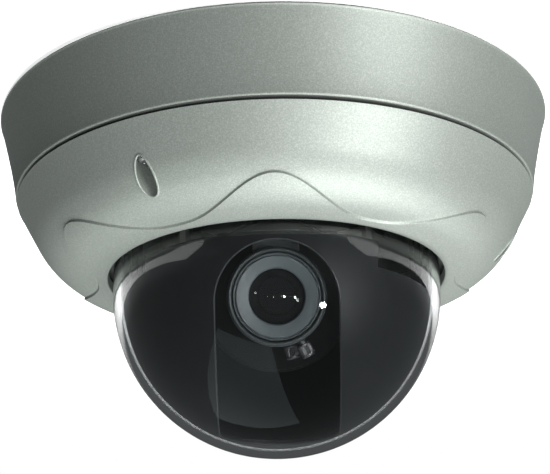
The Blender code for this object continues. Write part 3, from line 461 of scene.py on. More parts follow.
silver_paint = painted(
    "silver_paint", flake_group(),
    {"Colour": (0.36, 0.40, 0.365, 1.0), "Flake": (0.76, 0.80, 0.75, 1.0), "Size": 3000.0, "Amount": 0.44,
     "Roughness": 0.48},
    (0.26, 0.00005),
    {"Metallic": 0.5, "IOR": 1.5},
)
dress(base, silver_paint, "housing", "mounting_base", slot="silver_paint")

# ---------------------------------------------------------------- base gasket and cable grommet
# Black silicone. The flat gasket lies between the two castings and shows as the dark line round the seam;
# the grommet lines the cable hole.


def grain_group():
    """Moulded or rolled surface. A noise mottles a colour between two shades, and gives roughness and a
    height."""
    group, given, out = new_group(
        "fine_grain",
        [("Colour", "colour", (0.5, 0.5, 0.5, 1.0)), ("Second", "colour", (0.6, 0.6, 0.6, 1.0)),
         ("Size", "float", 900.0), ("Stretch", "vector", (1.0, 1.0, 1.0)), ("Roughness", "float", 0.45),
         ("Spread", "float", 0.1)],
        [("Colour", "colour"), ("Roughness", "float"), ("Height", "float")],
    )
    nodes, links = group.nodes, group.links
    where = nodes.new("ShaderNodeTexCoord")
    stretch = nodes.new("ShaderNodeVectorMath")
    stretch.operation = "MULTIPLY"
    links.new(where.outputs["Object"], stretch.inputs[0])
    links.new(given.outputs["Stretch"], stretch.inputs[1])
    grain = nodes.new("ShaderNodeTexNoise")
    grain.inputs["Detail"].default_value = 4.0
    links.new(stretch.outputs[0], grain.inputs["Vector"])
    links.new(given.outputs["Size"], grain.inputs["Scale"])
    mix = nodes.new("ShaderNodeMix")
    mix.data_type = "RGBA"
    links.new(grain.outputs["Fac"], mix.inputs["Factor"])
    links.new(given.outputs["Colour"], mix.inputs["A"])
    links.new(given.outputs["Second"], mix.inputs["B"])
    rough = worked(group, "MULTIPLY_ADD", grain.outputs["Fac"], given.outputs["Spread"],
                   given.outputs["Roughness"])
    links.new(mix.outputs["Result"], out.inputs["Colour"])
    links.new(rough, out.inputs["Roughness"])
    links.new(grain.outputs["Fac"], out.inputs["Height"])
    return group


fine_grain = grain_group()
silicone = painted(
    "black_silicone", fine_grain,
    {"Colour": (0.008, 0.008, 0.009, 1.0), "Second": (0.022, 0.022, 0.023, 1.0), "Size": 1800.0,
     "Roughness": 0.55, "Spread": 0.25},
    (0.3, 0.00005), {"IOR": 1.42},
)
outline = [(SEAM_R - 1.2, -22.86), (SEAM_R - 1.2, -23.54), (SEAM_R - 2.6, -23.54), (SEAM_R - 2.6, -22.86)]
outline = softened([*outline, outline[0]], 0.2)
dress(lathe("seam_gasket", outline, steps=192), silicone, "housing", "base_gasket", slot="rubber")
mouth = [(4.2, -0.4), (7.8, -0.4), (7.8, -3.3), (10.0, -3.3), (10.0, -4.9), (4.2, -4.9), (4.2, -0.4)]
at_hole = (np.eye(3), np.append(cable_hole[:2], 0.0))
dress(lathe("cable_grommet_moulding", softened(mouth, 0.3), steps=72, frame=at_hole), silicone, "housing",
      "cable_grommet", slot="rubber")

# ---------------------------------------------------------------- main board
# Green circuit board on the base's standoffs, with the network jack, power terminal, capacitors, processor,
# head socket and reset switch soldered to it. Their shapes are the frame's own.


def finished(material, *nodes):
    """Gives pieces that keep the frame's shape their material."""
    for name in nodes:
        frame["nodes"][name].data.materials.clear()
        frame["nodes"][name].data.materials.append(material)


board_green = painted(
    "solder_mask", fine_grain,
    {"Colour": (0.008, 0.06, 0.02, 1.0), "Second": (0.02, 0.11, 0.045, 1.0), "Size": 420.0,
     "Stretch": (1.0, 4.0, 1.0), "Roughness": 0.28, "Spread": 0.2},
    (0.3, 0.00004), {"IOR": 1.5},
)
chip = painted(
    "epoxy_package", fine_grain,
    {"Colour": (0.012, 0.012, 0.013, 1.0), "Second": (0.03, 0.03, 0.032, 1.0), "Size": 1600.0,
     "Roughness": 0.5, "Spread": 0.2},
    (0.3, 0.00004), {},
)
green_plastic = painted(
    "terminal_plastic", fine_grain,
    {"Colour": (0.01, 0.16, 0.045, 1.0), "Second": (0.02, 0.22, 0.07, 1.0), "Size": 900.0, "Roughness": 0.35,
     "Spread": 0.15},
    (0.15, 0.00003), {},
)
white_plastic = painted(
    "white_plastic", fine_grain,
    {"Colour": (0.62, 0.61, 0.58, 1.0), "Second": (0.72, 0.71, 0.69, 1.0), "Size": 900.0, "Roughness": 0.35,
     "Spread": 0.15},
    (0.1, 0.00003), {},
)
zinc = painted(
    "zinc_sheet", fine_grain,
    {"Colour": (0.42, 0.42, 0.40, 1.0), "Second": (0.62, 0.62, 0.60, 1.0), "Size": 260.0, "Roughness": 0.28,
     "Spread": 0.25},
    (0.15, 0.00004), {"Metallic": 1.0},
)
finished(board_green, "main_board")
finished(zinc, "network_jack")
finished(green_plastic, "power_terminal")
finished(chip, "capacitor_1", "capacitor_2", "processor_chip", "reset_switch")
finished(white_plastic, "head_socket", "reset_button")

# ---------------------------------------------------------------- gimbal plate and turntable
# Zinc-plated steel plate screwed to the three posts. The black moulded turntable hangs under it by a hub
# through its middle and a retainer ring, and carries the liner on two tabs with pegs. The zinc-plated yoke
# for the camera head keeps the frame's shape.
black_plastic = painted(
    "black_moulding", fine_grain,
    {"Colour": (0.005, 0.0055, 0.006, 1.0), "Second": (0.010, 0.011, 0.012, 1.0), "Size": 500.0,
     "Roughness": 0.34, "Spread": 0.12},
    (0.03, 0.00002), {"IOR": 1.5, "Specular IOR Level": 0.22},
)
HUB_R, HUB_HOLE, DISC_R = 12.0, 8.6, 40.0
PLATE_TOP, PLATE_LOW, DISC_TOP, DISC_LOW = -12.9, -14.9, -15.5, -17.5
PEG_Z = CENTRE_Z + 7.3


def bar(name, low, high, turn=0.0):
    """Box between two corners, turned about Z by degrees."""
    corner = np.stack(np.meshgrid(*zip(low, high), indexing="ij"), -1).reshape(-1, 3)
    c, s = math.cos(math.radians(turn)), math.sin(math.radians(turn))
    corner = corner @ np.array(((c, s, 0), (-s, c, 0), (0, 0, 1)))
    faces = [(0, 1, 3, 2), (4, 6, 7, 5), (0, 4, 5, 1), (2, 3, 7, 6), (0, 2, 6, 4), (1, 5, 7, 3)]
    return shaped(name, corner, faces)


def sideways(side, z):
    """Frame at a height whose Z points to the right for side 1 and to the left for side -1."""
    return np.array(((0.0, 0.0, side), (side, 0.0, 0.0), (0.0, 1.0, 0.0))), (0.0, 0.0, z)


def plug(radius, low, high, cut=0.15):
    """Outline of a solid cylinder between two heights, with rounded rims."""
    return softened([(0.0, low), (radius, low), (radius, high), (0.0, high)], cut)


gimbal_plate = carved(
    lathe("gimbal_plate_steel", rounded_ring(HUB_R + 0.4, STANDOFF_R + 4.0, PLATE_LOW, PLATE_TOP), steps=144),
    *[("UNION", bar("ear", (-5.0, -POST_R - 4.5, PLATE_LOW), (5.0, -STANDOFF_R, PLATE_TOP), a))
      for a in POST_AZ],
    ("DIFFERENCE", pins("ear_holes", posts, 1.7, PLATE_LOW - 2.0, PLATE_TOP + 2.0, steps=32)),
    ("DIFFERENCE", bar("reset_window", (8.0, -38.0, PLATE_LOW - 2.0), (26.0, -18.0, PLATE_TOP + 2.0))),
)
dress(gimbal_plate, zinc, "housing", "gimbal_plate", slot="zinc_plate")
hub = [(HUB_HOLE, -14.0), (HUB_HOLE, -12.6), (HUB_R, -12.6), (HUB_R, DISC_TOP), (DISC_R, DISC_TOP),
       (DISC_R, DISC_LOW), (HUB_HOLE, DISC_LOW), (HUB_HOLE, -14.0)]
turntable = lathe("turntable_moulding", softened(hub, 0.3)[:-1], steps=144)
for side in (-1, 1):
    low, high = sorted((side * 36.8, side * 38.6))
    turntable = carved(
        turntable,
        ("UNION", bar("tab", (low, -5.0, CENTRE_Z + 3.3), (high, 5.0, DISC_TOP - 0.5))),
        ("UNION", lathe("peg", plug(1.5, 37.6, 40.8), 32, sideways(side, PEG_Z), ring=False)),
    )
dress(turntable, black_plastic, "pan_head", "pan_turntable", slot="black_plastic")
dress(lathe("retainer_ring", rounded_ring(HUB_HOLE, 15.0, -12.3, -11.3), steps=96), zinc, "pan_head",
      "pan_retainer", slot="zinc_plate")
finished(zinc, "tilt_yoke")

# ---------------------------------------------------------------- liner
# Black moulded hemisphere clipped to the turntable. A slot with a round end lets the lens look out and tilt.
LINER_R, LINER_T, LINER_RIM, SLOT_HALF, SLOT_TOP, SLOT_BOTTOM = 41.1, 1.5, 2.3, 15.5, 21.6, 90.0
turns = np.radians(np.linspace(0, 90, 40))
skin, lining = ([(r * np.cos(t), CENTRE_Z - r * np.sin(t)) for t in turns]
                for r in (LINER_R, LINER_R - LINER_T))
skin[-1], lining[-1] = (0.0, CENTRE_Z - LINER_R), (0.0, CENTRE_Z - LINER_R + LINER_T)
ear_z = CENTRE_Z + LINER_RIM + 7.5
rim = softened([lining[0], (LINER_R - LINER_T, ear_z), (LINER_R, ear_z), skin[0]], 0.3)
outline = [*lining[::-1], *rim[1:-1], *skin]
liner = lathe("slotted_liner", outline, steps=180, ring=False)


def slot_cutter(name):
    """Wedge as wide as the slot, from the liner's middle outwards, between the directions of the slot's
    ends."""
    reach = LINER_R * 1.5
    angles = np.radians(np.linspace(SLOT_TOP, SLOT_BOTTOM, 24))
    rim = np.c_[np.zeros(24), -reach * np.cos(angles), -reach * np.sin(angles)]
    wedge = np.concatenate([[(0.0, 0.0, 0.0)], rim])
    wedge[:, 2] += CENTRE_Z
    points = np.concatenate([wedge + (-SLOT_HALF, 0, 0), wedge + (SLOT_HALF, 0, 0)])
    n = len(wedge)
    faces = [tuple(range(n)), tuple(range(2 * n - 1, n - 1, -1))]
    faces += [(i, (i + 1) % n, (i + 1) % n + n, i + n) for i in range(n)]
    return shaped(name, points, faces)


def slot_end(name, angle):
    """Round bar as thick as the slot, from inside the liner outwards, at an angle below the front."""
    t = np.linspace(0, 2 * np.pi, 72, endpoint=False)
    e = math.radians(angle)
    out = np.array((0.0, -math.cos(e), -math.sin(e)))
    across, upward = np.array((1.0, 0.0, 0.0)), np.array((0.0, -math.sin(e), math.cos(e)))
    circle = SLOT_HALF * (np.cos(t)[:, None] * across + np.sin(t)[:, None] * upward)
    points = np.concatenate([circle + out * d + (0, 0, CENTRE_Z) for d in (18.0, 62.0)])
    faces = [tuple(f) for f in grid_faces(2, 72)] + [tuple(range(72)), tuple(range(143, 71, -1))]
    return shaped(name, points, faces)


ends = (CENTRE_Z + LINER_RIM, ear_z + 3.0)
liner = carved(
    liner,
    ("DIFFERENCE", bar("front_rim", (-50, -50, ends[0]), (50, -7, ends[1]))),
    ("DIFFERENCE", bar("back_rim", (-50, 7, ends[0]), (50, 50, ends[1]))),
    ("DIFFERENCE", bar("right_notch", (-11.5, -46, CENTRE_Z - 4.6), (11.5, -28, ends[1]), 54.0)),
    ("DIFFERENCE", bar("left_notch", (-8.0, -46, CENTRE_Z - 1.6), (8.0, -28, ends[1]), -64.0)),
    ("DIFFERENCE", slot_cutter("slot_sweep")),
    ("DIFFERENCE", slot_end("slot_top", SLOT_TOP)),
    ("DIFFERENCE", slot_end("slot_bottom", SLOT_BOTTOM)),
)
dress(liner, black_plastic, "pan_head", "inner_liner", slot="black_plastic")


def bead(name, path, radius, steps=10):
    """Thin round bead along a closed path of points in millimetres. Its cross-section stands square to
    it."""
    along = np.roll(path, -1, axis=0) - np.roll(path, 1, axis=0)
    along /= np.linalg.norm(along, axis=1)[:, None]
    out = path - (0.0, 0.0, CENTRE_Z)
    out -= (out * along).sum(1)[:, None] * along
    out /= np.linalg.norm(out, axis=1)[:, None]
    beside = np.cross(along, out)
    t = np.linspace(0, 2 * np.pi, steps, endpoint=False)
    circle = radius * (np.cos(t)[None, :, None] * out[:, None] + np.sin(t)[None, :, None] * beside[:, None])
    points = (path[:, None] + circle).reshape(-1, 3)
    return shaped(name, points, grid_faces(len(path), steps, wrap_rows=True))


gloss_plastic = painted(
    "gloss_moulding", fine_grain,
    {"Colour": (0.02, 0.022, 0.024, 1.0), "Second": (0.03, 0.032, 0.034, 1.0), "Size": 500.0,
     "Roughness": 0.16, "Spread": 0.08},
    (0.02, 0.00002), {"IOR": 1.55},
)
# The slot's edge is rolled over into a small glossy bead, which follows the slot's outline on the liner's
# skin. A point of the outline is a direction below the front, a step across and a step up from it.
arc = np.linspace(0, np.pi, 40)
run = np.linspace(SLOT_TOP, SLOT_BOTTOM, 60)[1:-1]
outline = [(SLOT_TOP, SLOT_HALF * np.cos(t), SLOT_HALF * np.sin(t)) for t in arc]
outline += [(e, -SLOT_HALF, 0.0) for e in run]
outline += [(SLOT_BOTTOM, -SLOT_HALF * np.cos(t), -SLOT_HALF * np.sin(t)) for t in arc]
outline += [(e, SLOT_HALF, 0.0) for e in run[::-1]]
e, across, up = np.array(outline).T
e = np.radians(e)
out = np.sqrt((LINER_R - 0.45) ** 2 - across**2 - up**2)
path = np.c_[across, -out * np.cos(e) - up * np.sin(e), CENTRE_Z - out * np.sin(e) + up * np.cos(e)]
dress(bead("slot_bead", path, 0.42), gloss_plastic, "pan_head", slot="black_plastic")

# ---------------------------------------------------------------- camera head
# The black cradle tilts on two trunnions in the yoke. The housing turns in it, held by a spring clip, and
# the lens screws into the housing's front through a zinc collar. The sensor board and the iris motor keep
# the frame's shape.
matt_plastic = painted(
    "matt_moulding", fine_grain,
    {"Colour": (0.0035, 0.0038, 0.0042, 1.0), "Second": (0.006, 0.0065, 0.007, 1.0), "Size": 500.0,
     "Roughness": 0.6, "Spread": 0.15},
    (0.03, 0.00002), {"IOR": 1.45, "Specular IOR Level": 0.15},
)
steel = painted(
    "stainless", fine_grain,
    {"Colour": (0.50, 0.50, 0.51, 1.0), "Second": (0.72, 0.72, 0.73, 1.0), "Size": 700.0, "Roughness": 0.2,
     "Spread": 0.2},
    (0.1, 0.00003), {"Metallic": 1.0},
)
lens_black = painted(
    "anodised_black", fine_grain,
    {"Colour": (0.030, 0.036, 0.039, 1.0), "Second": (0.05, 0.058, 0.062, 1.0), "Size": 700.0,
     "Roughness": 0.36, "Spread": 0.12},
    (0.04, 0.00002), {"Metallic": 0.35},
)
LENS_TILT = math.radians(20.0)
LENS_AXES = np.array(((1.0, 0.0, 0.0), (0.0, -math.sin(LENS_TILT), -math.cos(LENS_TILT)),
                      (0.0, math.cos(LENS_TILT), -math.sin(LENS_TILT))))
LENS = (LENS_AXES, (0.0, 0.0, CENTRE_Z))
SHELL_R, FLANGE_R, SHELL_BORE, THREAD_R = 17.2, 19.8, 12.5, 7.2
cradle = lathe("cradle_ring", rounded_ring(SHELL_R + 0.4, 20.5, -4.2, 4.2, 0.4), steps=120, frame=LENS)
for side in (-1, 1):
    axle = sideways(side, CENTRE_Z)
    cradle = carved(
        cradle,
        ("UNION", lathe("trunnion", plug(4.0, 19.3, 23.6, 0.3), 48, axle, ring=False)),
        ("DIFFERENCE", lathe("trunnion_hole", plug(1.3, 18.5, 26.0), 24, axle, ring=False)),
    )
dress(cradle, matt_plastic, "tilt_head", "tilt_cradle", slot="black_plastic")
shell = [(FLANGE_R, 5.3), (FLANGE_R, 4.5), (SHELL_R, 4.5), (SHELL_R, -10.7), (SHELL_BORE, -10.7),
         (SHELL_BORE, 2.0), (THREAD_R, 2.0), (THREAD_R, 6.1), (FLANGE_R, 6.1), (FLANGE_R, 5.3)]
housing = lathe("camera_shell", softened(shell, 0.35)[:-1], steps=120, frame=LENS,
                waves=[(60, 0.12, (19.4, 20.0), (4.9, 5.7))])
dress(housing, matt_plastic, "camera", "camera_housing", slot="black_plastic")
clip = rounded_ring(SHELL_R + 0.1, 19.4, -5.5, -4.5, 0.2)
dress(lathe("roll_spring_clip", clip, steps=96, frame=LENS), steel, "camera", "roll_clip", slot="steel")
dress(lathe("zinc_collar", rounded_ring(7.1, 10.0, 6.5, 12.1), steps=96, frame=LENS,
            waves=[(40, 0.15, (9.8, 10.2), (7.2, 11.4))]), zinc, "camera", "lens_collar", slot="zinc_plate")
barrel = [(0.0, -1.0), (6.9, -1.0), (6.9, 12.4), (11.2, 12.4), (11.2, 17.82), (9.6, 17.82), (9.6, 19.12),
          (0.0, 19.12)]
dress(lathe("lens_tube", softened(barrel, 0.25), steps=96, frame=LENS, ring=False), lens_black, "camera",
      "lens_barrel", slot="lens_black")
finished(board_green, "sensor_board")
finished(chip, "image_sensor")
finished(lens_black, "iris_motor")
finished(silicone, "iris_lead")

# ---------------------------------------------------------------- lens rings and glass
# Zoom ring behind and focus ring in front, anodised black with ribbed grips. A stepped bezel holds the
# front glass, and behind a black baffle lies darker glass. Each ring has a small thumb screw that locks it.
bezel_grey = painted(
    "bezel_grey", fine_grain,
    {"Colour": (0.045, 0.056, 0.06, 1.0), "Second": (0.06, 0.074, 0.08, 1.0), "Size": 900.0,
     "Roughness": 0.42, "Spread": 0.1},
    (0.05, 0.00002), {"IOR": 1.5},
)
dark_steel = painted(
    "blackened_steel", fine_grain,
    {"Colour": (0.10, 0.10, 0.105, 1.0), "Second": (0.17, 0.17, 0.175, 1.0), "Size": 700.0, "Roughness": 0.3,
     "Spread": 0.15},
    (0.05, 0.00002), {"Metallic": 0.9},
)
coated_glass = painted(
    "coated_glass", fine_grain,
    {"Colour": (0.004, 0.0035, 0.004, 1.0), "Second": (0.007, 0.005, 0.006, 1.0), "Size": 60.0,
     "Roughness": 0.03, "Spread": 0.02},
    (0.0, 0.00001), {"IOR": 1.6},
)
lens_glass = plain("front_lens_glass", {
    "Base Color": (0.93, 0.95, 0.97, 1.0), "Roughness": 0.0, "IOR": 1.6, "Transmission Weight": 1.0,
})
grip = [(10.0, 21.0), (10.0, 18.12), (11.5, 18.12), (11.9, 18.6), (11.9, 19.0), (11.7, 19.3), (11.7, 23.0),
        (11.9, 23.3), (11.9, 23.7), (11.5, 24.14), (10.0, 24.14), (10.0, 21.0)]
zoom_grip = lathe("zoom_grip", softened(grip, 0.2)[:-1], steps=288, frame=LENS,
                  waves=[(72, 0.1, (11.6, 11.8), (19.2, 23.1))])
dress(zoom_grip, lens_black, "zoom", "zoom_ring", slot="lens_black")
grip = [(7.6, 27.0), (7.6, 24.44), (11.9, 24.44), (12.4, 24.9), (12.4, 25.4), (12.15, 25.7), (12.15, 30.6),
        (12.4, 30.9), (12.4, 32.9), (12.2, 33.5), (11.8, 33.9), (11.45, 33.85), (11.2, 33.4), (11.1, 30.5),
        (7.6, 30.5), (7.6, 27.0)]
focus_grip = lathe("focus_grip", softened(grip, 0.18)[:-1], steps=288, frame=LENS,
                   waves=[(72, 0.1, (12.0, 12.3), (25.6, 30.7))])
dress(focus_grip, lens_black, "focus", "focus_ring", slot="lens_black")
step = [(6.5 - 0.65 * n, z - 1.1 * n) for n in range(5) for z in (30.2, 29.2)]
bezel = [(9.0, 30.8), (10.9, 30.8), (10.9, 33.0), (10.75, 33.25), (10.6, 33.25), (10.48, 33.0), (10.48, 32.4),
         (10.2, 32.4), (10.2, 33.0), (10.05, 33.2), (7.2, 32.55), (6.95, 32.3), (6.95, 30.9), (9.0, 30.8)]
dress(lathe("stepped_bezel", softened(bezel, 0.1)[:-1], steps=144, frame=LENS), bezel_grey, "focus",
      "front_bezel", slot="lens_black")
baffle = [(7.2, 27.0), (7.2, 30.5), (6.9, 30.5), *step, (3.9, 24.6), (7.2, 24.6), (7.2, 27.0)]
dress(lathe("black_baffle", softened(baffle, 0.1)[:-1], steps=144, frame=LENS), matt_plastic, "focus",
      slot="lens_black")
GLASS_R, INNER_R = 6.8, 4.2
turns = np.linspace(0, 1, 20)
crown = [(GLASS_R * t, 32.3 - 1.25 * t**2) for t in turns]
hollow = [(GLASS_R * t, 30.55 + 0.25 * t**2) for t in turns]
outline = [*crown, (GLASS_R + 0.05, 30.95), *hollow[::-1]]
front_glass = lathe("front_glass", outline, steps=96, frame=LENS, ring=False)
dress(front_glass, lens_glass, "focus", "front_element", slot="lens_glass")
no_glare.objects.link(front_glass)
deep = [(INNER_R * t, 26.1 - 0.9 * t**2) for t in turns]
dress(lathe("inner_glass", [*deep, (INNER_R, 24.9), (0.0, 24.9)], steps=72, frame=LENS, ring=False),
      coated_glass, "focus", slot="lens_glass")


def standing(a, r, z):
    """Frame inside the lens frame: its Z points outwards from the lens axis at angle a, from radius r and
    height z."""
    a = math.radians(a)
    out, along = np.array((math.cos(a), math.sin(a), 0.0)), np.array((0.0, 0.0, 1.0))
    local = np.column_stack([np.cross(along, out), along, out])
    return LENS_AXES @ local, LENS_AXES @ (r * out + z * along) + (0.0, 0.0, CENTRE_Z)


thumb = [(0.0, 0.3), (1.1, 0.3), (1.1, 1.2), (1.8, 1.2), (1.8, 1.6), (1.72, 1.7), (1.72, 3.8), (1.8, 3.9),
         (1.8, 4.3), (1.5, 4.6), (0.0, 4.6)]
for name, body, node, a, r, z in (("focus_thumb_screw", "focus_lock", "focus_lock_screw", -62.5, 12.4, 28.2),
                                  ("zoom_thumb_screw", "zoom_lock", "zoom_lock_screw", -76.0, 11.9, 21.13)):
    made = lathe(name, softened(thumb, 0.12), 96, standing(a, r, z), ring=False,
                 waves=[(24, 0.07, (1.7, 1.76), (1.6, 3.9))])
    dress(made, dark_steel, body, node, slot="steel")

# ---------------------------------------------------------------- screws
# Stainless screws with a rounded head, a six-lobed socket and a rolled thread, each in its own body's hole.
DOWN = np.diag((1.0, -1.0, -1.0))
PITCH = 0.55
CLAMP_AZ, CLAMP_R = (45.0, 135.0, 225.0, 315.0), 53.55


def socket_screw(node, body, frame, head_r, head_h, shank_r, length):
    """Screw whose head stands above Z 0 of its frame. The thread is a stack of ridges, one each pitch."""
    floor, wide = head_h * 0.42, head_r * 0.5
    head = [(0.0, floor), (wide * 0.8, floor), (wide, floor + 0.15), (wide, head_h - 0.12),
            (wide + 0.1, head_h), (head_r * 0.62, head_h), (head_r * 0.9, head_h * 0.86),
            (head_r, head_h * 0.6), (head_r, 0.12), (head_r - 0.12, 0.0)]
    ridges, z = [(shank_r, 0.0), (shank_r, -0.6)], -0.6
    while z - PITCH > -length + 0.6:
        ridges += [(shank_r * 0.86, z - PITCH * 0.3), (shank_r * 0.86, z - PITCH * 0.6), (shank_r, z - PITCH)]
        z -= PITCH
    outline = [*head, *ridges, (shank_r * 0.7, -length), (0.0, -length)]
    made = lathe(node + "_stainless", outline, 48, frame, ring=False,
                 waves=[(6, wide * 0.14, (wide * 0.7, wide + 0.02), (floor - 0.01, head_h - 0.1))])
    dress(made, steel, body, node, slot="steel")


for n, azimuth in enumerate(BOARD_AZ):
    at = around(STANDOFF_R, azimuth, -9.9)
    socket_screw(f"board_screw_{n + 1}", "housing", (DOWN, at), 2.4, 1.3, 1.0, 5.0)
for n, azimuth in enumerate(POST_AZ):
    at = around(POST_R, azimuth, -15.2)
    socket_screw(f"gimbal_screw_{n + 1}", "housing", (DOWN, at), 2.7, 1.6, 1.2, 8.5)
for n, azimuth in enumerate(CLAMP_AZ):
    at = around(CLAMP_R, azimuth, -36.2)
    socket_screw(f"clamp_screw_{n + 1}", "cover", (np.eye(3), at), 2.3, 1.4, 1.1, 5.4)
for n, place in enumerate(("left", "right", "back")):
    frame_at = (DOWN, around(SCREW_R, SCREW_AZ[n], LEDGE_Z - 0.3))
    socket_screw(f"cover_screw_{n + 1}", f"cover_screw_{place}", frame_at, 2.2, 2.6, 1.5, 15.8)
for side, place in ((-1, "left"), (1, "right")):
    socket_screw(f"yoke_screw_{place}", "pan_head", (DOWN, (17.0 * side, 0.0, -19.6)), 2.6, 1.6, 1.0, 3.4)
    at = LENS_AXES @ (10.6 * side, 10.6 * side, -12.9) + (0.0, 0.0, CENTRE_Z)
    socket_screw(f"sensor_screw_{place}", "camera", (LENS_AXES @ DOWN, at), 2.0, 1.2, 0.9, 6.0)
    pivot = [(0.0, 1.1), (1.3, 1.1), (1.6, 1.3), (1.6, 2.3), (1.8, 2.4), (4.1, 2.4), (4.4, 2.1), (4.4, 0.3),
             (2.3, 0.3), (2.3, -1.8), (1.1, -1.8), (1.1, -4.5), (0.0, -4.5)]
    frame_at = (sideways(side, CENTRE_Z)[0], (25.5 * side, 0.0, CENTRE_Z))
    made = lathe(f"tilt_pivot_{place}", softened(pivot, 0.12), 72, frame_at, ring=False,
                 waves=[(6, 0.2, (1.2, 1.65), (1.05, 2.35)), (36, 0.08, (4.3, 4.5), (0.5, 1.9))])
    dress(made, steel, "tilt_head", f"tilt_screw_{place}", slot="steel")

# ---------------------------------------------------------------- head cable
# Black sleeved cable from the sensor board back and up through the turntable's hub to the socket on the
# main board. Its fixed path bends behind the tilting head, on a quadratic Bezier from the sensor board to the
# hub.


def tube(name, path, radius, steps=20):
    """Round tube with closed ends along an open path that stays in one upright plane."""
    along = np.gradient(path, axis=0)
    along /= np.linalg.norm(along, axis=1)[:, None]
    aside = np.array((1.0, 0.0, 0.0))
    over = np.cross(along, aside)
    t = np.linspace(0, 2 * np.pi, steps, endpoint=False)
    circle = radius * (np.cos(t)[None, :, None] * aside + np.sin(t)[None, :, None] * over[:, None])
    points = np.concatenate([(path[:, None] + circle).reshape(-1, 3), path[[0, -1]]])
    n = len(path) * steps
    faces = [tuple(f) for f in grid_faces(len(path), steps)]
    faces += [(n, k, (k + 1) % steps) for k in range(steps)]
    faces += [(n + 1, n - steps + (k + 1) % steps, n - steps + k) for k in range(steps)]
    return shaped(name, points, faces)


CABLE_R, SWEEP = 1.7, 14.6
toward = LENS_AXES[:, 2]
start = toward * -13.6 + (0.0, 0.0, CENTRE_Z)
knee, socket = np.array((0.0, 0.0, -22.3)), np.array((0.0, 0.0, -12.8))
t = np.linspace(0, 1, 40)[:, None]
sweep = (1 - t) ** 2 * (start - toward * 1.5) + 2 * t * (1 - t) * (start - toward * SWEEP) + t**2 * knee
path = np.concatenate([[start], sweep, knee + (socket - knee) * np.linspace(0.1, 1, 10)[:, None]])
cable = tube("sleeved_cable", path, CABLE_R)
cable.data.materials.append(silicone)
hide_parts("head_harness")
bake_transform(cable)

# ---------------------------------------------------------------- cover
# Die-cast aluminium ring in the same paint. A petal-shaped pad stands a little proud round the bubble, and
# a narrow pocket between two petals takes each cover screw.
RIM_Z, RIM_R = -44.8, 45.15
LIP_R = SEAM_R - 0.4
PAD_H, PAD_FADE, PAD_EDGE, CREASE, BAY_R, TIP_R = 0.6, 14.0, 0.5, 0.18, 48.2, 61.3
SIDE_LEAN, FLOOR_LEAN = math.radians(25.9), math.radians(10.0)
POCKET_W, POCKET_L = 2.5, 3.4


def cover_side(count):
    """Radius and height down the cover's outside: a straight side, a quadratic Bezier round the corner
    where the two straight lines would meet, and a nearly flat underside. Also how far along it each point
    lies."""
    side, floor_slope = math.tan(SIDE_LEAN), math.tan(FLOOR_LEAN)
    end = np.array((RIM_R + 1.0, RIM_Z))
    corner_r = (LIP_R - side * (LIP_Z - RIM_Z + floor_slope * end[0])) / (1 - side * floor_slope)
    start = np.array((LIP_R, LIP_Z))
    corner = np.array((corner_r, RIM_Z + floor_slope * (corner_r - end[0])))
    first, last = start + (corner - start) * 0.53, corner + (end - corner) * 0.66
    t = np.linspace(0, 1, 80)[:, None]
    bend = (1 - t) ** 2 * first + 2 * t * (1 - t) * corner + t**2 * last
    line = np.concatenate([np.linspace(start, first, 30)[:-1], bend, np.linspace(last, end, 12)[1:]])
    length = np.r_[0, np.cumsum(np.linalg.norm(np.diff(line, axis=0), axis=1))]
    even = np.linspace(0, length[-1], count)
    return np.c_[np.interp(even, length, line[:, 0]), np.interp(even, length, line[:, 1])], even


def petal_radius(a):
    """Pad radius at azimuth a: it swings six times round between the bays and the tips, as a raised cosine
    to the power 1.3."""
    return BAY_R + (TIP_R - BAY_R) * ((1 + np.cos(6 * a)) / 2) ** 1.3


def cover_skin(name, columns=432):
    """Cover outside, from the lip down to the rim and up the bubble opening. The rows of each column bunch
    at the pad's edge, where the surface drops into a fine crease and by the pad's height, which fades out
    at the lip."""
    side, length = cover_side(400)
    slope = np.gradient(side, length, axis=0)
    inward = np.stack([slope[:, 1], -slope[:, 0]], -1)
    a = np.linspace(0, 2 * np.pi, columns, endpoint=False)
    edge = np.interp(-petal_radius(a), -side[:, 0], length)
    outside = np.linspace(0.004, 1, 36)[:, None] * (edge - PAD_EDGE / 2)
    across = edge + np.linspace(-0.5, 0.5, 8)[1:, None] * PAD_EDGE
    inside = edge + PAD_EDGE / 2 + np.linspace(0, 1, 22)[1:, None] * (length[-1] - edge - PAD_EDGE / 2)
    s = np.concatenate([outside, across, inside])
    r, z = (np.interp(s, length, side[:, k]) for k in (0, 1))
    nr, nz = (np.interp(s, length, inward[:, k]) for k in (0, 1))
    t = np.clip((s - edge) / PAD_EDGE + 0.5, 0, 1)
    depth = PAD_H * np.clip((LIP_Z - z) / PAD_FADE, 0, 1) * (1 - t * t * (3 - 2 * t))
    depth += CREASE * np.sin(np.pi * t)
    r, z = r + nr * depth, z + nz * depth
    ring = np.ones(columns)
    lip = [(LIP_R - 1.0, LIP_Z), (LIP_R - 0.25, LIP_Z), (LIP_R - 0.02, LIP_Z - 0.1)]
    bore = [(RIM_R + 0.45, RIM_Z), (RIM_R + 0.12, RIM_Z + 0.12), (RIM_R, RIM_Z + 0.45), (RIM_R, RIM_Z + 4.0),
            (RIM_R, LIP_Z)]
    r = np.concatenate([[p[0] * ring for p in lip], r[1:-1], [p[0] * ring for p in bore]])
    z = np.concatenate([[p[1] * ring for p in lip], z[1:-1], [p[1] * ring for p in bore]])
    points = np.stack([r * np.sin(a), -r * np.cos(a), z], -1).reshape(-1, 3)
    return shaped(name, points, grid_faces(len(r), columns, wrap_rows=True))


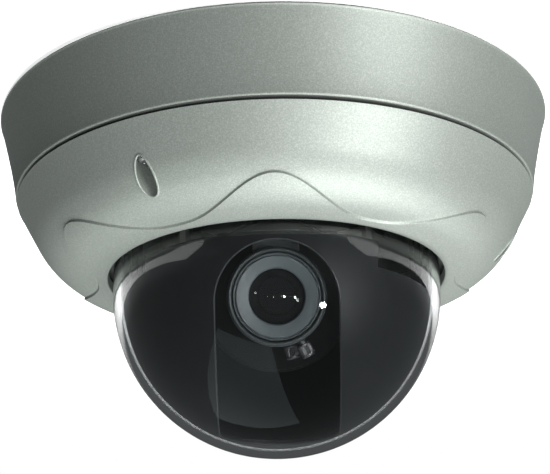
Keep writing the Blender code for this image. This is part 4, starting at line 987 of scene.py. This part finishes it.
side, length = cover_side(26)
slope = np.gradient(side, length, axis=0)
inner = side + np.stack([slope[:, 1], -slope[:, 0]], -1) * WALL
inner = inner[(inner[:, 1] > RIM_Z + WALL + 0.4) & (inner[:, 1] < LIP_Z - 1.0)]
inner = [(0.0, LIP_Z + 2.0), (LIP_R - WALL, LIP_Z + 2.0), *inner, (inner[-1][0] - 2.0, RIM_Z + WALL),
         (0.0, RIM_Z + WALL)]
clamp_places = [around(CLAMP_R, a) for a in CLAMP_AZ]
hollow = carved(
    lathe("cover_hollow", inner, steps=192, ring=False),
    ("DIFFERENCE", pins("cover_bosses", bosses, 5.4, RIM_Z - 2.0, LIP_Z - 0.5, steps=60)),
    ("DIFFERENCE", pins("clamp_bosses", clamp_places, 2.9, RIM_Z, -38.8, steps=32)),
)
cover = carved(
    cover_skin("cover_casting"),
    ("DIFFERENCE", hollow),
    ("DIFFERENCE", pins("screw_pockets", bosses, POCKET_W, RIM_Z - 5.0, LEDGE_Z, 64, POCKET_L / POCKET_W,
                        list(SCREW_AZ))),
    ("DIFFERENCE", pins("screw_holes", bosses, 1.75, LEDGE_Z - 2.0, LIP_Z + 3.0, steps=32)),
    ("DIFFERENCE", pins("clamp_taps", clamp_places, 1.35, RIM_Z + WALL - 0.2, -38.0, steps=24)),
)
dress(cover, silver_paint, "cover", "dome_cover", slot="silver_paint")
side, length = cover_side(400)
slope = np.gradient(side, length, axis=0)
t = np.linspace(0, 2 * np.pi, 72, endpoint=False)
for at, azimuth, place in zip(bosses, SCREW_AZ, ("left", "right", "back")):
    # The paint gathers into a small rounded rim round the pocket's mouth, which follows the cover's outside.
    turn = math.radians(azimuth)
    spin = np.array(((math.cos(turn), -math.sin(turn)), (math.sin(turn), math.cos(turn))))
    x, y = (np.c_[(POCKET_W + 0.05) * np.cos(t), (POCKET_L + 0.05) * np.sin(t)] @ spin.T + at[:2]).T
    r = np.hypot(x, y)
    z, lean = (np.interp(-r, -side[:, 0], column) for column in (side[:, 1], -slope[:, 0]))
    z = z + PAD_H * np.clip((LIP_Z - z) / PAD_FADE, 0, 1) / lean
    dress(bead(f"pocket_rim_{place}", np.c_[x, y, z + 0.05], 0.3), silver_paint, "cover", slot="silver_paint")

# ---------------------------------------------------------------- bubble and its clamp
# Clear polycarbonate bubble with a flange, squeezed between a gasket and a zinc-plated ring by small
# screws. Light passes straight through it to what it covers.
BUBBLE_R, BUBBLE_T = 43.75, 1.9
turns = np.radians(np.linspace(0, 90, 48))
outer = np.c_[BUBBLE_R * np.cos(turns), CENTRE_Z - BUBBLE_R * np.sin(turns)]
within = np.c_[(BUBBLE_R - BUBBLE_T) * np.cos(turns), CENTRE_Z - (BUBBLE_R - BUBBLE_T) * np.sin(turns)]
outer[-1, 0] = within[-1, 0] = 0.0
FLANGE_TOP, FLANGE_LOW = -38.8, -40.4
edge = [(BUBBLE_R - BUBBLE_T, FLANGE_TOP), (BUBBLE_R + 6.0, FLANGE_TOP), (BUBBLE_R + 6.0, FLANGE_LOW),
        (BUBBLE_R, FLANGE_LOW)]
outline = np.concatenate([within[::-1], softened(edge, 0.3), outer])
bubble = lathe("clear_bubble", outline, steps=216, ring=False)

clear_plastic = plain("clear_polycarbonate", {
    "Base Color": (0.97, 0.985, 0.985, 1.0), "Roughness": 0.0, "IOR": 1.49, "Transmission Weight": 1.0,
})
tree = clear_plastic.node_tree
seen, shade = tree.nodes.new("ShaderNodeLightPath"), tree.nodes.new("ShaderNodeBsdfTransparent")
shade.inputs["Color"].default_value = (0.93, 0.95, 0.95, 1.0)
either(tree, seen.outputs["Is Shadow Ray"], tree.nodes["Principled BSDF"], shade)
dress(bubble, clear_plastic, "cover", "bubble", slot="clear_dome")
no_glare.objects.link(bubble)
for entry in no_glare.collection_objects:
    entry.light_linking.link_state = "EXCLUDE"

clamp = carved(
    lathe("clamp_ring_steel", rounded_ring(42.45, 49.75, -38.5, -36.5, 0.2), steps=144),
    *[("UNION", bar("clamp_ear", (-3.0, -55.15, -38.5), (3.0, -47.75, -36.5), a)) for a in CLAMP_AZ],
    ("DIFFERENCE", pins("clamp_holes", clamp_places, 1.45, -41.0, -34.0, steps=32)),
)
dress(clamp, zinc, "cover", "clamp_ring", slot="zinc_plate")
dress(lathe("bubble_seal", rounded_ring(45.45, 49.25, -41.5, -40.7, 0.2), steps=144), silicone, "cover",
      "bubble_gasket", slot="rubber")

low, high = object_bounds()
